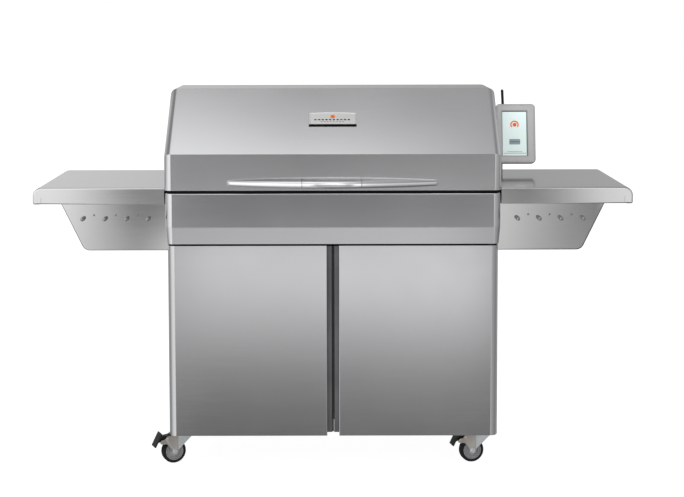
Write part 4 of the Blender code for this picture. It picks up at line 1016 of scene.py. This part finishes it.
def build_controller():
    half_x, half_z, deep = 0.0700, 0.1055, 0.034
    glass_x, glass_z, glass_at = 0.0440, 0.0795, -0.0035

    def ring(inset, y, radius=0.015):
        outline = round_rect(-half_x + inset, half_x - inset, -half_z + inset, half_z - inset,
                             max(radius - inset, 0.002), 10)
        return section_at(outline, "Y", y)

    def window(grow, y):
        outline = round_rect(glass_at - glass_x - grow, glass_at + glass_x + grow,
                             -glass_z - grow, glass_z + grow, 0.0012 + grow * 0.4, 10)
        return section_at(outline, "Y", y)

    shape = loft([window(0.0001, 0.0034), window(0.0003, 0.0016), window(0.0032, 0.0003),
                  window(0.0040, 0.0), ring(0.0078, 0.0), ring(0.0074, 0.0006), ring(0.0064, 0.0006),
                  ring(0.0060, 0.0), ring(0.0042, 0.0), ring(0.0022, 0.0006), ring(0.0008, 0.0022),
                  ring(0.0, 0.0048), ring(0.0, deep - 0.006), ring(0.0010, deep - 0.0025), ring(0.0040, deep)])
    piece("controller_case", shape, BEZEL, "cart", ["controller_housing"], 0.0, 28.0, LEAN)
    stub = block(0.6015, 0.6105, 0.228, 0.249, 1.119, 1.1325)
    piece("antenna_foot", stub, PLASTIC, "cart", edge=0.0008)
    vents = [block(-0.030, 0.030, deep - 0.0008, deep + 0.0001, z, z + 0.0022)
             for z in (0.060, 0.068, 0.076, -0.060, -0.068, -0.076)]
    piece("controller_vents", gather(vents), RUBBER, "cart", move=LEAN)

    x0, x1 = glass_at - glass_x, glass_at + glass_x
    glass = block(x0, x1, 0.0022, 0.0037, -glass_z, glass_z)
    piece("screen_panel", glass, SCREEN, "cart", ["touch_screen"], 0.0003, 30.0, LEAN)
    near, face = 0.0017, 0.0022
    mask = [block(x0, x1, near, face, glass_z - 0.0026, glass_z),
            block(x0, x0 + 0.0012, near, face, -glass_z, glass_z - 0.0026),
            block(x1 - 0.0022, x1, near, face, -glass_z, glass_z - 0.0026),
            block(x0 + 0.0012, x1 - 0.0022, near, face, -glass_z, -glass_z + 0.0010)]
    piece("screen_mask", gather(mask), SCREEN_EDGE, "cart", move=LEAN)
    # Generic user interface: an orange dial, a blank button and rows of dashes
    near, face = 0.0020, 0.0023

    def ribbon(cx, cz, radius, width, start, end, steps=28):
        out = arc(cx, cz, radius, start, end, steps)
        back = arc(cx, cz, radius - width, start, end, steps)[::-1]
        return prism(out + back, "Y", near, face)

    dial = [ribbon(glass_at, 0.031, 0.0150, 0.0046, -40, 220),
            ribbon(glass_at, 0.031, 0.0070, 0.0069, 0, 359),
            prism([(glass_at - 0.0014, 0.033), (glass_at + 0.0110, 0.0430), (glass_at + 0.0014, 0.029)],
                  "Y", near, face)]
    piece("screen_dial", gather(dial), SCREEN_ORANGE, "cart", move=LEAN)
    outline = round_rect(glass_at - 0.0192, glass_at + 0.0192, -0.0390, -0.0195, 0.0016, 6)
    piece("screen_button", prism(outline, "Y", near, face), SCREEN_BLUE, "cart", move=LEAN)
    rows = ((-0.0155, 0.0058, 0.0038, 6, -0.0312, -0.0276, 0.0018),
            (-0.0270, 0.0060, 0.0042, 9, -0.0652, -0.0634, 0.0020),
            (-0.0370, 0.0060, 0.0042, 13, -0.0708, -0.0686, 0.0020))
    dashes = [block(glass_at + start + step * i, glass_at + start + step * i + width, front, face, low, high)
              for start, step, width, count, low, high, front in rows for i in range(count)]
    piece("screen_dashes", gather(dashes), SCREEN_DARK, "cart", move=LEAN)


def build_antenna():
    """Rubber antenna with moulded rings above its tilting knuckle."""
    x, y, z = 0.606, 0.244, 1.139
    levels = [(0.0044, 0.0060), (0.0052, 0.0075), (0.0052, 0.0170), (0.0046, 0.0178)]
    for i in range(9):
        base = 0.0190 + i * 0.0052
        levels += [(0.0050, base), (0.0050, base + 0.0026), (0.0043, base + 0.0034), (0.0043, base + 0.0044)]
    levels += [(0.0048, 0.0662), (0.0044, 0.0676), (0.0032, 0.0688)]
    stick = loft([section_at(circle(x - 0.05 * up, y, radius, 28), "Z", z + up) for radius, up in levels])
    knuckle = turned([(0.0040, x - 0.0044), (0.0054, x - 0.0036), (0.0054, x + 0.0036), (0.0040, x + 0.0044)],
                     y, z, "X", 28)
    piece("antenna_stick", gather([stick, knuckle]), RUBBER, "antenna", ["antenna"],
          0.0, 30.0)


def build_channel():
    """Recessed finger channel between the doors: grey strips and a dark reveal."""
    for word, side in SIDES:
        low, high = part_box("door_%s_pan" % word)
        dress("door_%s_pan" % word, CHANNEL, 0.0003)
        face = -0.327 + 0.0225
        x0, x1 = sorted((side * 0.0030, side * 0.0046))
        lip = block(x0, x1, face - 0.0006, face + 0.0004, low.z + 0.004, high.z - 0.004)
        piece("channel_bead_" + word, lip, RUBBER, "door_" + word)
    low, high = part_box("door_left_pan")
    # A black strip behind the gap between the doors, carried on the left door: painted shadow in the gap.
    gap_shadow = block(-0.0029, 0.0022, -0.3030, -0.2990, low.z + 0.002, high.z - 0.002)
    piece("channel_gap_shadow", gap_shadow, RUBBER, "door_left")


BOLT = polished_steel("bright_zinc_bolt", (0.70, 0.72, 0.74), 0.22)
CHANNEL = painted_steel("channel_grey", (0.115, 0.115, 0.12), 0.45, 0.3, 0.00002)
SCREEN = lit_screen("screen_lit", (0.70, 0.81, 0.79), 0.40)
SCREEN_EDGE = moulded_plastic("screen_edge", (0.045, 0.06, 0.065), 0.25, 0.000004)
SCREEN_ORANGE = lit_screen("screen_orange", (0.72, 0.13, 0.03), 0.35)
SCREEN_BLUE = lit_screen("screen_blue", (0.30, 0.37, 0.40), 0.18)
SCREEN_DARK = lit_screen("screen_dark", (0.10, 0.16, 0.19), 0.05)

for word in CASTER_WORDS:
    build_caster(word)
build_controller()
build_antenna()
build_channel()
